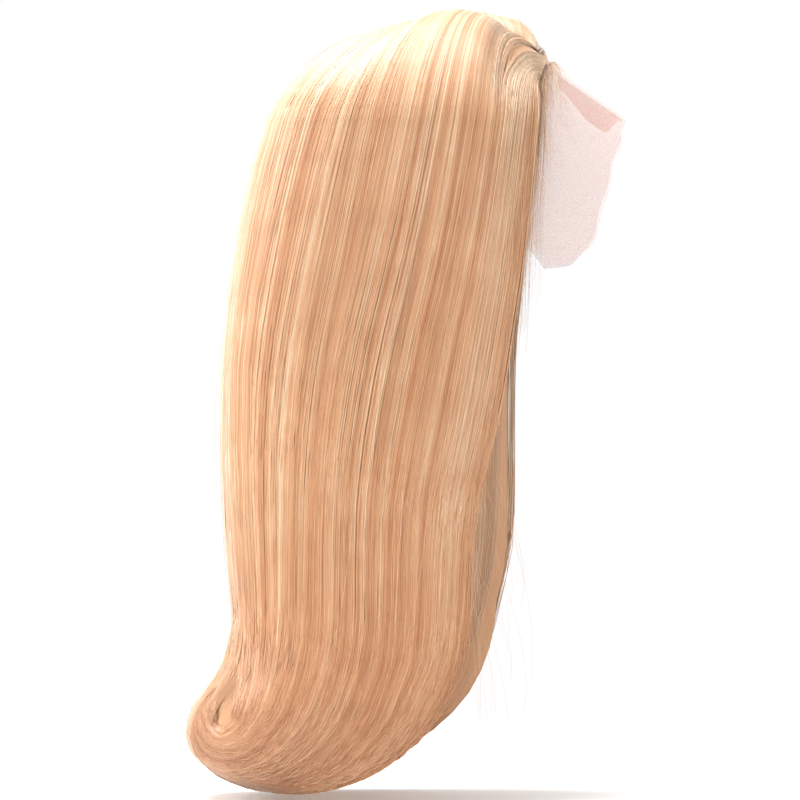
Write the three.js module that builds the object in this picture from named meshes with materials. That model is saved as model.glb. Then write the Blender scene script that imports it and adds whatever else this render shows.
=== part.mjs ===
// A full lace wig of long straight blonde hair, in the form that it has when it is worn.
// Millimetres, +Z up. The wearer faces -Y, and -X is the wearer's right. The origin is the top of
// the head, on the inside of the lace cap. The hair is parted on the right and hangs open at the
// front, and its ends are swept back and turned up into one soft roll behind.
import * as THREE from "three";

// The head that the cap fits: an ellipse in plan, with a fuller curve from side to crown
const HEAD_HALF_WIDTH = 79;
const HEAD_HALF_DEPTH = 100;
const HEAD_HALF_HEIGHT = 112;
const HEAD_FULLNESS = 2.9;
const HEAD_CENTRE_Y = -5;

// Cloth walls and the small gap that neighbouring pieces keep
const LACE_WALL = 1;
const SEAT_GAP = 0.4;
const HAIR_SEAT = 1.3;

// The cap's edge, by degrees round from the centre of the forehead
const CAP_EDGE = [
  { azimuth: 0, z: -30 },
  { azimuth: 25, z: -36 },
  { azimuth: 45, z: -62 },
  { azimuth: 62, z: -100 },
  { azimuth: 75, z: -128 },
  { azimuth: 88, z: -120 },
  { azimuth: 102, z: -108 },
  { azimuth: 122, z: -130 },
  { azimuth: 146, z: -164 },
  { azimuth: 166, z: -178 },
  { azimuth: 180, z: -180 },
];
const CAP_SECTORS = 36;
const CAP_RINGS = 9;

// The untrimmed lace before the hairline. A row gives the free edge at one share of the way from
// the middle of the forehead (0) to the ear (1).
const LACE_EDGE_AZIMUTH = 72;
const LACE_FREE_EDGE = [
  { share: 0, x: 0, y: -146, z: -69 },
  { share: 0.25, x: 25, y: -143, z: -82 },
  { share: 0.5, x: 46, y: -133, z: -118 },
  { share: 0.7, x: 59, y: -122, z: -158 },
  { share: 0.85, x: 66, y: -108, z: -176 },
  { share: 1, x: 71, y: -88, z: -180 },
];
const LACE_SIDE_BULGE = 3;
const LACE_COLUMNS = 20;
const LACE_ROWS = 6;

// The doubled fold that hangs under the middle line of the untrimmed lace
const FOLD_FROM = 0.12;
const FOLD_TO = 0.95;
const FOLD_START_DROP = 9;
const FOLD_DROP = 19;
const FOLD_X = 1.5;
const FOLD_STEPS = 10;

// The parting runs from the hairline to the crown on the wearer's right. Before it the right side's
// roots follow the hairline down to the temple.
const PART_X = -24;
const PART_FRONT_Y = -80;
const PART_BACK_Y = -16;
const PART_HALF_GAP = 1.2;
const CROWN_RADIUS = 2.5;
const ROOT_RISE = 4;
const LEAST_HAIR = 3;
const HAIRLINE_SHARE = 0.2;
const TEMPLE_AZIMUTH = -42;
const PART_AZIMUTH = -22.4;
const HAIRLINE_INSET = 0.94;
const PART_BUNCHING = 1.6;

// How the hair leaves the parting, by share of the way from the front edge to the back corner: the
// lift of each side, how far back the right side reaches before it falls, how high its shoulder is,
// and how far the left side is pushed forward into a small roll
const LIFTS = [
  { share: 0, right: 6, reach: 0.45, shoulder: 26, left: 14.5, forward: 6 },
  { share: 0.06, right: 6, reach: 0.6, shoulder: 27, left: 32.5, forward: 5 },
  { share: 0.14, right: 7, reach: 0.8, shoulder: 30, left: 41, forward: 2 },
  { share: 0.23, right: 9, reach: 0.9, shoulder: 38, left: 40.5, forward: 0 },
  { share: 0.31, right: 43, reach: 0.5, shoulder: 50, left: 39, forward: 0 },
  { share: 0.42, right: 46.5, reach: 0.45, shoulder: 50, left: 37.5, forward: 0 },
  { share: 0.55, right: 43, reach: 0.45, shoulder: 50, left: 36, forward: 0 },
  { share: 0.7, right: 33, reach: 0.45, shoulder: 50, left: 27.5, forward: 0 },
  { share: 0.85, right: 19, reach: 0.45, shoulder: 50, left: 14, forward: 0 },
  { share: 1, right: 4, reach: 0.45, shoulder: 50, left: 4, forward: 0 },
];
const BACK_LIFT = 4;
const ROOT_REACH_X = 0.15;
const ROOT_REACH_Y = 0.45;
const LEFT_SHOULDER = 50;
const BACK_SHOULDER = 44;
const CROWN_STEPS = 12;

// Level sections of the hair's outer face below the crown: both front edges, the back, half the
// width, how deep the hair is at the back and at the sides, where the sides meet the back, and how
// far the front edges are tucked in
const SECTIONS = [
  { z: -75, right: -78, left: -78, back: 123, half: 96, backDepth: 26, depth: 18, corner: 74, tuck: 20 },
  { z: -120, right: -73, left: -73, back: 136, half: 101, backDepth: 26, depth: 19, corner: 86, tuck: 18 },
  { z: -175, right: -67, left: -68, back: 146, half: 105, backDepth: 26, depth: 20, corner: 97, tuck: 14 },
  { z: -235, right: -58, left: -61, back: 153.5, half: 109, backDepth: 26, depth: 20, corner: 105, tuck: 11 },
  { z: -295, right: -48, left: -60, back: 155.5, half: 112, backDepth: 26, depth: 20, corner: 108, tuck: 9 },
  { z: -350, right: -34, left: -60, back: 154, half: 115, backDepth: 26, depth: 20, corner: 108, tuck: 7 },
  { z: -400, right: -29, left: -58, back: 150, half: 117, backDepth: 25, depth: 20, corner: 108, tuck: 7 },
  { z: -440, right: -28, left: -49, back: 146, half: 119, backDepth: 25, depth: 20, corner: 108, tuck: 7 },
  { z: -470, right: -25, left: -37, back: 150, half: 121, backDepth: 30, depth: 20, corner: 108, tuck: 7 },
  { z: -490, right: -18, left: -26, back: 164, half: 122, backDepth: 42, depth: 20, corner: 108, tuck: 7 },
  { z: -510, right: -9, left: -13, back: 178, half: 123, backDepth: 52, depth: 20, corner: 108, tuck: 7 },
  { z: -529, right: 2, left: 0, back: 182, half: 122, backDepth: 54, depth: 20, corner: 108, tuck: 7 },
  { z: -546, right: 15, left: 14, back: 174, half: 119, backDepth: 46, depth: 18, corner: 108, tuck: 7 },
  { z: -560, right: 30, left: 30, back: 154, half: 112, backDepth: 28, depth: 14, corner: 108, tuck: 7 },
  { z: -568, right: 48, left: 48, back: 132, half: 101, backDepth: 10, depth: 7, corner: 108, tuck: 7 },
];
const SIDE_MIDDLE_Y = 30;
const PLAN_ROUNDNESS = 2.6;
const FRONT_EDGE_DEPTH = 0.45;
const ROOT_DEPTH = 0.35;
const LAST_ROW = CROWN_STEPS + SECTIONS.length - 1;

// The falls of hair meet at the back corners, where |u| is CORNER_U: u runs from the right front
// edge (-1) round the back (0) to the left front edge (1)
const CORNER_U = 0.36;
const FALL_GAP_U = 0.002;
const SIDE_LOCKS = 9;
const BACK_LOCKS = 8;
const LOCK_DEPTH = 3.2;

// The eye of the roll, a dent in the hair at each end of it
const ROLL_EYE_Y = 152;
const ROLL_EYE_Z = -517;
const ROLL_EYE_RADIUS = 11;
const ROLL_EYE_DEPTH = 9;

const { lerp, smoothstep, degToRad, clamp } = THREE.MathUtils;

/** A column of a table at a key, on a smooth curve through the rows. */
function columnAt(table, keyName, key, column) {
  const last = table.length - 1;
  const found = table.findIndex((row) => row[keyName] >= key);
  const index = found < 0 ? last : Math.max(found, 1);
  const slope = (i) => {
    const before = table[Math.max(i - 1, 0)];
    const after = table[Math.min(i + 1, last)];
    return (after[column] - before[column]) / (after[keyName] - before[keyName]);
  };
  const start = table[index - 1];
  const end = table[index];
  const span = end[keyName] - start[keyName];
  const t = clamp((key - start[keyName]) / span, 0, 1);
  const t2 = t * t;
  const t3 = t2 * t;
  return (
    (2 * t3 - 3 * t2 + 1) * start[column] +
    (t3 - 2 * t2 + t) * span * slope(index - 1) +
    (3 * t2 - 2 * t3) * end[column] +
    (t3 - t2) * span * slope(index)
  );
}

// Head and cap

/** A point on the head, grown by offset: azimuth from the forehead, fall from the crown, in radians. */
function headPoint(azimuth, fall, offset) {
  const power = 2 / HEAD_FULLNESS;
  const level = Math.pow(Math.max(Math.sin(fall), 0), power);
  const upright = Math.sign(Math.cos(fall)) * Math.pow(Math.abs(Math.cos(fall)), power);
  return new THREE.Vector3(
    (HEAD_HALF_WIDTH + offset) * Math.sin(azimuth) * level,
    HEAD_CENTRE_Y - (HEAD_HALF_DEPTH + offset) * Math.cos(azimuth) * level,
    -HEAD_HALF_HEIGHT + (HEAD_HALF_HEIGHT + offset) * upright,
  );
}

/** The fall angle at which the head reaches a height. */
function fallAtHeight(z) {
  const share = (z + HEAD_HALF_HEIGHT) / HEAD_HALF_HEIGHT;
  return Math.acos(Math.sign(share) * Math.pow(Math.abs(share), HEAD_FULLNESS / 2));
}

/** The fall angle of the cap's edge at an azimuth in degrees, the same on both sides. */
function capEdgeFall(azimuth) {
  const round = Math.abs(((azimuth + 540) % 360) - 180);
  return fallAtHeight(columnAt(CAP_EDGE, "azimuth", round, "z"));
}

/** How far out a point is, as a share of the head grown by offset. */
function headShare(point, offset) {
  const plan =
    Math.pow(point.x / (HEAD_HALF_WIDTH + offset), 2) +
    Math.pow((point.y - HEAD_CENTRE_Y) / (HEAD_HALF_DEPTH + offset), 2);
  const upright = Math.abs(point.z + HEAD_HALF_HEIGHT) / (HEAD_HALF_HEIGHT + offset);
  const sum = Math.pow(plan, HEAD_FULLNESS / 2) + Math.pow(upright, HEAD_FULLNESS);
  return Math.pow(sum, 1 / HEAD_FULLNESS);
}

/** Moves a point straight out until it clears the head by offset. */
function clearOfHead(point, offset) {
  const share = headShare(point, offset);
  if (share >= 1) return point;
  const centre = new THREE.Vector3(0, HEAD_CENTRE_Y, -HEAD_HALF_HEIGHT);
  return point.clone().sub(centre).divideScalar(share).add(centre);
}

/** The head's height at a place in plan, grown by offset. */
function headHeight(x, y, offset) {
  const plan =
    Math.pow(x / (HEAD_HALF_WIDTH + offset), 2) +
    Math.pow((y - HEAD_CENTRE_Y) / (HEAD_HALF_DEPTH + offset), 2);
  const left = Math.max(1 - Math.pow(plan, HEAD_FULLNESS / 2), 0);
  return -HEAD_HALF_HEIGHT + (HEAD_HALF_HEIGHT + offset) * Math.pow(left, 1 / HEAD_FULLNESS);
}

// Closed solids from grids of points

/** An indexed geometry from points and triangles, turned so that its faces point out. */
function solidGeometry(points, triangles) {
  let volume = 0;
  const cross = new THREE.Vector3();
  for (const [a, b, c] of triangles) {
    volume += points[a].dot(cross.crossVectors(points[b], points[c]));
  }
  const turned = volume < 0 ? triangles.map(([a, b, c]) => [a, c, b]) : triangles;
  const geometry = new THREE.BufferGeometry().setFromPoints(points);
  geometry.setIndex(turned.flat());
  geometry.computeVertexNormals();
  return geometry;
}

/** The solid between an outer and an inner grid with the same rows and columns. */
function wallBetween(outer, inner) {
  const rows = outer.length;
  const columns = outer[0].length;
  const points = [...outer.flat(), ...inner.flat()];
  const out = (r, c) => r * columns + c;
  const back = (r, c) => rows * columns + out(r, c);
  const triangles = [];
  const quad = (a, b, c, d) => triangles.push([a, b, c], [a, c, d]);
  for (let r = 0; r + 1 < rows; r++) {
    for (let c = 0; c + 1 < columns; c++) {
      quad(out(r, c), out(r, c + 1), out(r + 1, c + 1), out(r + 1, c));
      quad(back(r, c), back(r + 1, c), back(r + 1, c + 1), back(r, c + 1));
    }
    quad(out(r, 0), out(r + 1, 0), back(r + 1, 0), back(r, 0));
    const edge = columns - 1;
    quad(out(r, edge), back(r, edge), back(r + 1, edge), out(r + 1, edge));
  }
  for (let c = 0; c + 1 < columns; c++) {
    quad(out(0, c + 1), out(0, c), back(0, c), back(0, c + 1));
    const foot = rows - 1;
    quad(out(foot, c), out(foot, c + 1), back(foot, c + 1), back(foot, c));
  }
  return solidGeometry(points, triangles);
}

/** A hollow dome from an outer and an inner crown point and rings that close on themselves. */
function domeBetween(outerCrown, outerRings, innerCrown, innerRings) {
  const rings = outerRings.length;
  const sectors = outerRings[0].length;
  const points = [...outerRings.flat(), ...innerRings.flat(), outerCrown, innerCrown];
  const crown = points.length - 2;
  const out = (r, s) => r * sectors + (s % sectors);
  const back = (r, s) => rings * sectors + out(r, s);
  const triangles = [];
  const quad = (a, b, c, d) => triangles.push([a, b, c], [a, c, d]);
  for (let s = 0; s < sectors; s++) {
    triangles.push([crown, out(0, s), out(0, s + 1)], [crown + 1, back(0, s + 1), back(0, s)]);
    for (let r = 0; r + 1 < rings; r++) {
      quad(out(r, s), out(r + 1, s), out(r + 1, s + 1), out(r, s + 1));
      quad(back(r, s), back(r, s + 1), back(r + 1, s + 1), back(r + 1, s));
    }
    const foot = rings - 1;
    quad(out(foot, s), back(foot, s), back(foot, s + 1), out(foot, s + 1));
  }
  return solidGeometry(points, triangles);
}

/** A unit normal from two directions along a face, turned away from the wig's upright axis. */
function outwardNormal(point, down, along) {
  const normal = down.clone().cross(along).normalize();
  const centre = new THREE.Vector3(0, SIDE_MIDDLE_Y, Math.min(point.z, -HEAD_HALF_HEIGHT));
  return normal.dot(point.clone().sub(centre)) < 0 ? normal.negate() : normal;
}

// Lace pieces

/** The lace cap: a thin hollow dome from the hairline to the nape. */
function lacedCap() {
  const ring = (index, offset) =>
    Array.from({ length: CAP_SECTORS }, (_, s) => {
      const azimuth = (360 * s) / CAP_SECTORS;
      const fall = (capEdgeFall(azimuth) * (index + 1)) / CAP_RINGS;
      return headPoint(degToRad(azimuth), fall, offset);
    });
  const rings = (offset) => Array.from({ length: CAP_RINGS }, (_, r) => ring(r, offset));
  const crown = (offset) => headPoint(0, 0, offset);
  return domeBetween(crown(LACE_WALL), rings(LACE_WALL), crown(0), rings(0));
}

/** A point of the untrimmed lace: across from the right ear (-1) to the left (1), out from 0 to 1. */
function laceFrontPoint(across, out) {
  const azimuth = across * LACE_EDGE_AZIMUTH;
  const hairline = headPoint(degToRad(azimuth), capEdgeFall(azimuth), LACE_WALL / 2);
  const free = (column) => columnAt(LACE_FREE_EDGE, "share", Math.abs(across), column);
  const edge = new THREE.Vector3(Math.sign(across) * free("x"), free("y"), free("z"));
  const start = hairline.clone().lerp(edge, SEAT_GAP / hairline.distanceTo(edge));
  const bulge = LACE_SIDE_BULGE * Math.abs(across) * Math.sin(Math.PI * out);
  return start.lerp(edge, out).add(new THREE.Vector3(Math.sin(degToRad(azimuth)) * bulge, 0, bulge));
}

/** The untrimmed lace, one thin sheet that stands forward of the face. */
function lacedFront() {
  const step = 0.02;
  const along = (across, out) => laceFrontPoint(across + step, out).sub(laceFrontPoint(across - step, out));
  const down = (across, out) => laceFrontPoint(across, out + step).sub(laceFrontPoint(across, out - step));
  const face = (depth) =>
    Array.from({ length: LACE_ROWS + 1 }, (_, r) =>
      Array.from({ length: LACE_COLUMNS + 1 }, (_, c) => {
        const across = (2 * c) / LACE_COLUMNS - 1;
        const out = r / LACE_ROWS;
        const point = laceFrontPoint(across, out);
        const normal = outwardNormal(point, down(across, out), along(across, out));
        return point.addScaledVector(normal, -depth);
      }),
    );
  return wallBetween(face(0), face(LACE_WALL));
}

/** The doubled fold of lace, a lens-shaped strip that hangs under the middle line. */
function laceFold() {
  const face = (x) =>
    [0, 1].map((foot) =>
      Array.from({ length: FOLD_STEPS + 1 }, (_, i) => {
        const share = i / FOLD_STEPS;
        const top = laceFrontPoint(0, lerp(FOLD_FROM, FOLD_TO, share));
        const widest = lerp(FOLD_START_DROP, FOLD_DROP, smoothstep(share, 0, 0.5));
        const drop = widest * lerp(1, 0.1, smoothstep(share, 0.7, 1));
        return new THREE.Vector3(x, top.y, top.z - 2 * LACE_WALL - 2 * SEAT_GAP - foot * drop);
      }),
    );
  return wallBetween(face(FOLD_X), face(FOLD_X + LACE_WALL));
}

// Hair

/** Where a strand is in one level section. */
function planPoint(u, section) {
  const side = u < 0 ? -1 : 1;
  const front = side < 0 ? section.right : section.left;
  const toBack = section.back - SIDE_MIDDLE_Y;
  const power = 2 / PLAN_ROUNDNESS;
  if (Math.abs(u) >= CORNER_U) {
    const y = lerp(front, section.corner, (1 - Math.abs(u)) / (1 - CORNER_U));
    const toFront = Math.max(SIDE_MIDDLE_Y - y, 0) / Math.max(SIDE_MIDDLE_Y - front, 1);
    const tuck = section.tuck * Math.pow(toFront, 2);
    const round = Math.pow(Math.max(y - SIDE_MIDDLE_Y, 0) / toBack, PLAN_ROUNDNESS);
    const x = section.half * Math.pow(1 - round, 1 / PLAN_ROUNDNESS) - tuck;
    return new THREE.Vector3(side * x, y, section.z);
  }
  const corner = Math.acos(Math.pow((section.corner - SIDE_MIDDLE_Y) / toBack, 1 / power));
  const angle = (corner * Math.abs(u)) / CORNER_U;
  return new THREE.Vector3(
    side * section.half * Math.pow(Math.sin(angle), power),
    SIDE_MIDDLE_Y + toBack * Math.pow(Math.cos(angle), power),
    section.z,
  );
}

/** Share of the way from the front edge (0) to the back corner (1) on either side. */
function sideShare(u) {
  return clamp((1 - Math.abs(u)) / (1 - CORNER_U), 0, 1);
}

/** Where a strand leaves the cap: along the right hairline, the parting, and round its crown end. */
function rootPoint(u) {
  const share = sideShare(u);
  if (u < 0 && share < HAIRLINE_SHARE) {
    const azimuth = lerp(TEMPLE_AZIMUTH, PART_AZIMUTH, share / HAIRLINE_SHARE);
    return headPoint(degToRad(azimuth), capEdgeFall(azimuth) * HAIRLINE_INSET, LACE_WALL + ROOT_RISE);
  }
  const side = u < 0 ? -1 : 1;
  const behind = (share - HAIRLINE_SHARE) / (1 - HAIRLINE_SHARE);
  const along = u < 0 ? Math.pow(Math.max(behind, 0), PART_BUNCHING) : share;
  let x = PART_X + side * lerp(PART_HALF_GAP, CROWN_RADIUS, along);
  let y = lerp(PART_FRONT_Y, PART_BACK_Y, along);
  if (Math.abs(u) < CORNER_U) {
    const angle = (Math.PI / 2) * (u / CORNER_U);
    x = PART_X + CROWN_RADIUS * Math.sin(angle);
    y = PART_BACK_Y + CROWN_RADIUS * Math.cos(angle);
  }
  return new THREE.Vector3(x, y, headHeight(x, y, LACE_WALL) + ROOT_RISE);
}

/** The curve of a strand from the parting over the head to the first level section. */
function crownCurve(u) {
  const root = rootPoint(u);
  const foot = planPoint(u, SECTIONS[0]);
  const share = sideShare(u);
  const sideLift = columnAt(LIFTS, "share", share, u < 0 ? "right" : "left");
  const toBack = clamp(1 - Math.abs(u) / CORNER_U, 0, 1);
  const lift = lerp(sideLift, BACK_LIFT, smoothstep(toBack, 0, 1));
  const forward = u > 0 ? columnAt(LIFTS, "share", share, "forward") : 0;
  const reach = u > 0 ? ROOT_REACH_Y : columnAt(LIFTS, "share", share, "reach");
  const rise = new THREE.Vector3(
    lerp(root.x, foot.x, ROOT_REACH_X),
    lerp(root.y, foot.y, reach) - forward,
    root.z + lift,
  );
  const sideRise = u > 0 ? LEFT_SHOULDER : columnAt(LIFTS, "share", share, "shoulder");
  const shoulderRise = lerp(sideRise, BACK_SHOULDER, smoothstep(1 - Math.abs(u), 0.3, 0.85));
  const next = planPoint(u, SECTIONS[1]);
  const shoulder = foot.clone().addScaledVector(foot.clone().sub(next), shoulderRise / (foot.z - next.z));
  return new THREE.CubicBezierCurve3(root, rise, shoulder, foot);
}

/** How deep the hair is at a strand in one level section. */
function hairDepth(u, section) {
  const toBack = smoothstep(1 - Math.abs(u), 1 - 1.3 * CORNER_U, 1);
  const edge = lerp(FRONT_EDGE_DEPTH, 1, smoothstep(sideShare(u), 0, 0.25));
  return lerp(section.depth * edge, section.backDepth, toBack);
}

/** How far the eye of the roll dents the hair at a point. */
function rollDent(point) {
  const away = Math.hypot(point.y - ROLL_EYE_Y, point.z - ROLL_EYE_Z);
  return ROLL_EYE_DEPTH * Math.exp(-Math.pow(away / ROLL_EYE_RADIUS, 2));
}

/** A point of the hair's smooth outer face: first the rows over the head, then the sections. */
function hairPoint(u, row) {
  const point =
    row < CROWN_STEPS
      ? crownCurve(u).getPoint(row / CROWN_STEPS)
      : planPoint(u, SECTIONS[row - CROWN_STEPS]);
  return clearOfHead(point, LACE_WALL + LEAST_HAIR);
}

/** The outward normal of the hair's smooth outer face. */
function hairNormal(u, row) {
  const step = 0.02;
  const down = hairPoint(u, Math.min(row + 1, LAST_ROW)).sub(hairPoint(u, Math.max(row - 1, 0)));
  const along = hairPoint(Math.min(u + step, 1), row).sub(hairPoint(Math.max(u - step, -1), row));
  return outwardNormal(hairPoint(u, row), down, along);
}

/** One fall of hair from its roots to its ends: a thick wall whose outer face is drawn into locks. */
function hairFall(fromU, toU, locks) {
  const outer = [];
  const inner = [];
  for (let row = 0; row <= LAST_ROW; row++) {
    const section = SECTIONS[Math.max(row - CROWN_STEPS, 0)];
    const fade = smoothstep(row, 0, CROWN_STEPS) * smoothstep(LAST_ROW - row, -1, 2);
    const depthShare = lerp(ROOT_DEPTH, 1, smoothstep(row, 0, CROWN_STEPS));
    outer.push([]);
    inner.push([]);
    for (let column = 0; column <= 2 * locks; column++) {
      const u = lerp(fromU, toU, column / (2 * locks));
      const point = hairPoint(u, row);
      const normal = hairNormal(u, row);
      const lock = -Math.cos(Math.PI * column) * (LOCK_DEPTH / 2) * fade;
      const depth = hairDepth(u, section) * depthShare;
      outer[row].push(point.clone().addScaledVector(normal, lock - rollDent(point)));
      inner[row].push(clearOfHead(point.clone().addScaledVector(normal, -depth), LACE_WALL + HAIR_SEAT));
    }
  }
  return wallBetween(outer, inner);
}

// The pieces and their finishes
const lace = new THREE.MeshStandardMaterial({ color: 0xf1dfd8, roughness: 0.85, metalness: 0 });
const foldedLace = new THREE.MeshStandardMaterial({ color: 0xe6c9be, roughness: 0.85, metalness: 0 });
const blondeHair = new THREE.MeshStandardMaterial({ color: 0xe4b98a, roughness: 0.45, metalness: 0 });

/** A named mesh of one piece. */
function piece(name, geometry, material) {
  const mesh = new THREE.Mesh(geometry, material);
  mesh.name = name;
  return mesh;
}

const wig = new THREE.Group();
wig.add(
  piece("lace_cap", lacedCap(), lace),
  piece("lace_front", lacedFront(), lace),
  piece("lace_fold", laceFold(), foldedLace),
  piece("hair_right", hairFall(-1, -CORNER_U - FALL_GAP_U, SIDE_LOCKS), blondeHair),
  piece("hair_back", hairFall(-CORNER_U + FALL_GAP_U, CORNER_U - FALL_GAP_U, BACK_LOCKS), blondeHair),
  piece("hair_left", hairFall(CORNER_U + FALL_GAP_U, 1, SIDE_LOCKS), blondeHair),
);

export default wig;
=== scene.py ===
"""Looks of a full lace wig: long combed blonde hair on a sheer lace cap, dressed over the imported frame.

All shapes are worked out in millimetres in the row frame (+Z up, the wearer faces -Y, -X is the
wearer's right, the origin is the top of the head) and put into the meshes in metres.
"""

from __future__ import annotations

import logging
import math
from dataclasses import dataclass, replace
from enum import Enum

import bmesh
import bpy
import numpy as np
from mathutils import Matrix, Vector

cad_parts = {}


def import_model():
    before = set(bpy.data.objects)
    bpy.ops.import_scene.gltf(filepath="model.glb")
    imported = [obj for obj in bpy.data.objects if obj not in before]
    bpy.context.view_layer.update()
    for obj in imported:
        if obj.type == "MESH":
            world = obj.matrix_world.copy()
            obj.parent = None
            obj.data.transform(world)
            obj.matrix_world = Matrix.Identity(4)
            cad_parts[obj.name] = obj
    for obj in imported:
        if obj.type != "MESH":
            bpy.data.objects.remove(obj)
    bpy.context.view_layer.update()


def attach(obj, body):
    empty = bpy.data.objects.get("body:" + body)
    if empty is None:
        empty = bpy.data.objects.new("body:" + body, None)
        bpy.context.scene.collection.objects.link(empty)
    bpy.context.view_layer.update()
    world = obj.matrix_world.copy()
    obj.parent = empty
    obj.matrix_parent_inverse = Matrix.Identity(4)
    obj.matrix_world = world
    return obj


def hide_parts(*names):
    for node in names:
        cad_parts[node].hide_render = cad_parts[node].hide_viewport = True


Array = np.ndarray
Pair = tuple[float, float]
Knots = tuple[Array, Array, Array, Array]

LOG = logging.getLogger("wig")
MM = 0.001
BODY = "root"
SEED = 613
NOISE_LANES = 257
NOISE_STEPS = 67
STRAND_SIDES = 3


class Side(Enum):
    """A side of the wearer, with the sign of its x."""

    RIGHT = -1
    LEFT = 1


# Numbers and tables


def way_between(value: Array, low: float, high: float) -> Array:
    """Share of the way from low (0) to high (1), and no further."""
    return np.clip((value - low) / (high - low), 0.0, 1.0)


def smooth_step(value: Array, low: float, high: float) -> Array:
    """Ease from 0 at low to 1 at high."""
    share = way_between(value, low, high)
    return share * share * (3.0 - 2.0 * share)


def mix(first: Array, second: Array, share: Array) -> Array:
    """Blend from first to second by share."""
    return first + (second - first) * share


def unit(vectors: Array) -> Array:
    """Vectors scaled to length 1."""
    return vectors / np.maximum(np.linalg.norm(vectors, axis=-1, keepdims=True), 1e-9)


def side_sign(u: Array) -> Array:
    """The sign of x on the side that strands u are on."""
    return np.where(u < 0, -1.0, 1.0)


def curve(knots: Knots, t: Array) -> Array:
    """Points on a curve with four control points.

    Args:
        knots: The start, two handles and the end.
        t: Share of the way, in a shape that spreads over the knots.

    Returns:
        The points.
    """
    start, first, second, end = knots
    near = (1 - t) ** 3 * start + 3 * t * (1 - t) ** 2 * first
    return near + 3 * t**2 * (1 - t) * second + t**3 * end


def lane_noise(across: Array, along: Array, seed: int) -> Array:
    """Smooth seeded noise from -1 to 1 on lanes.

    Args:
        across: Place across the lanes, one lane a unit.
        along: Place along the lanes, one change a unit.
        seed: Which noise.

    Returns:
        The noise at each place.
    """
    grid = np.random.default_rng(SEED + seed).uniform(-1.0, 1.0, (NOISE_LANES, NOISE_STEPS))
    lane = np.floor(across).astype(int)
    step = np.floor(along).astype(int)
    lane_ease = smooth_step(across - lane, 0.0, 1.0)
    step_ease = smooth_step(along - step, 0.0, 1.0)
    low, high = (
        mix(grid[lane % NOISE_LANES, row], grid[(lane + 1) % NOISE_LANES, row], lane_ease)
        for row in (step % NOISE_STEPS, (step + 1) % NOISE_STEPS)
    )
    return mix(low, high, step_ease)


@dataclass(frozen=True)
class Wave:
    """Soft noise over strands: its height, its width across them in mm, and its changes along them."""

    height: float
    width: float
    changes: float
    seed: int

    def read(self, lane: Array, v: Array) -> Array:
        """The wave at lanes in mm and shares v from root to tip."""
        return self.height * lane_noise(lane / self.width, v * self.changes, self.seed)


@dataclass(frozen=True)
class Table:
    """Rows of named columns, read on a smooth curve through the rows."""

    columns: tuple[str, ...]
    rows: tuple[tuple[float, ...], ...]

    def read(self, name: str, key: Array) -> Array:
        """Read a column at a key of the first column.

        Args:
            name: Column to read.
            key: Values of the first column, in any shape.

        Returns:
            The column's value at each key.
        """
        rows = np.array(self.rows)
        rows = rows[np.argsort(rows[:, 0])]
        keys = rows[:, 0]
        values = rows[:, self.columns.index(name)]
        slopes = np.gradient(values, keys)
        at = np.clip(key, keys[0], keys[-1])
        after = np.clip(np.searchsorted(keys, at), 1, len(keys) - 1)
        before = after - 1
        span = keys[after] - keys[before]
        t = (at - keys[before]) / span
        start = (2 * t**3 - 3 * t**2 + 1) * values[before] + (t**3 - 2 * t**2 + t) * span * slopes[before]
        return start + (3 * t**2 - 2 * t**3) * values[after] + (t**3 - t**2) * span * slopes[after]


# Form of the head, the cap and the hair


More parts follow.
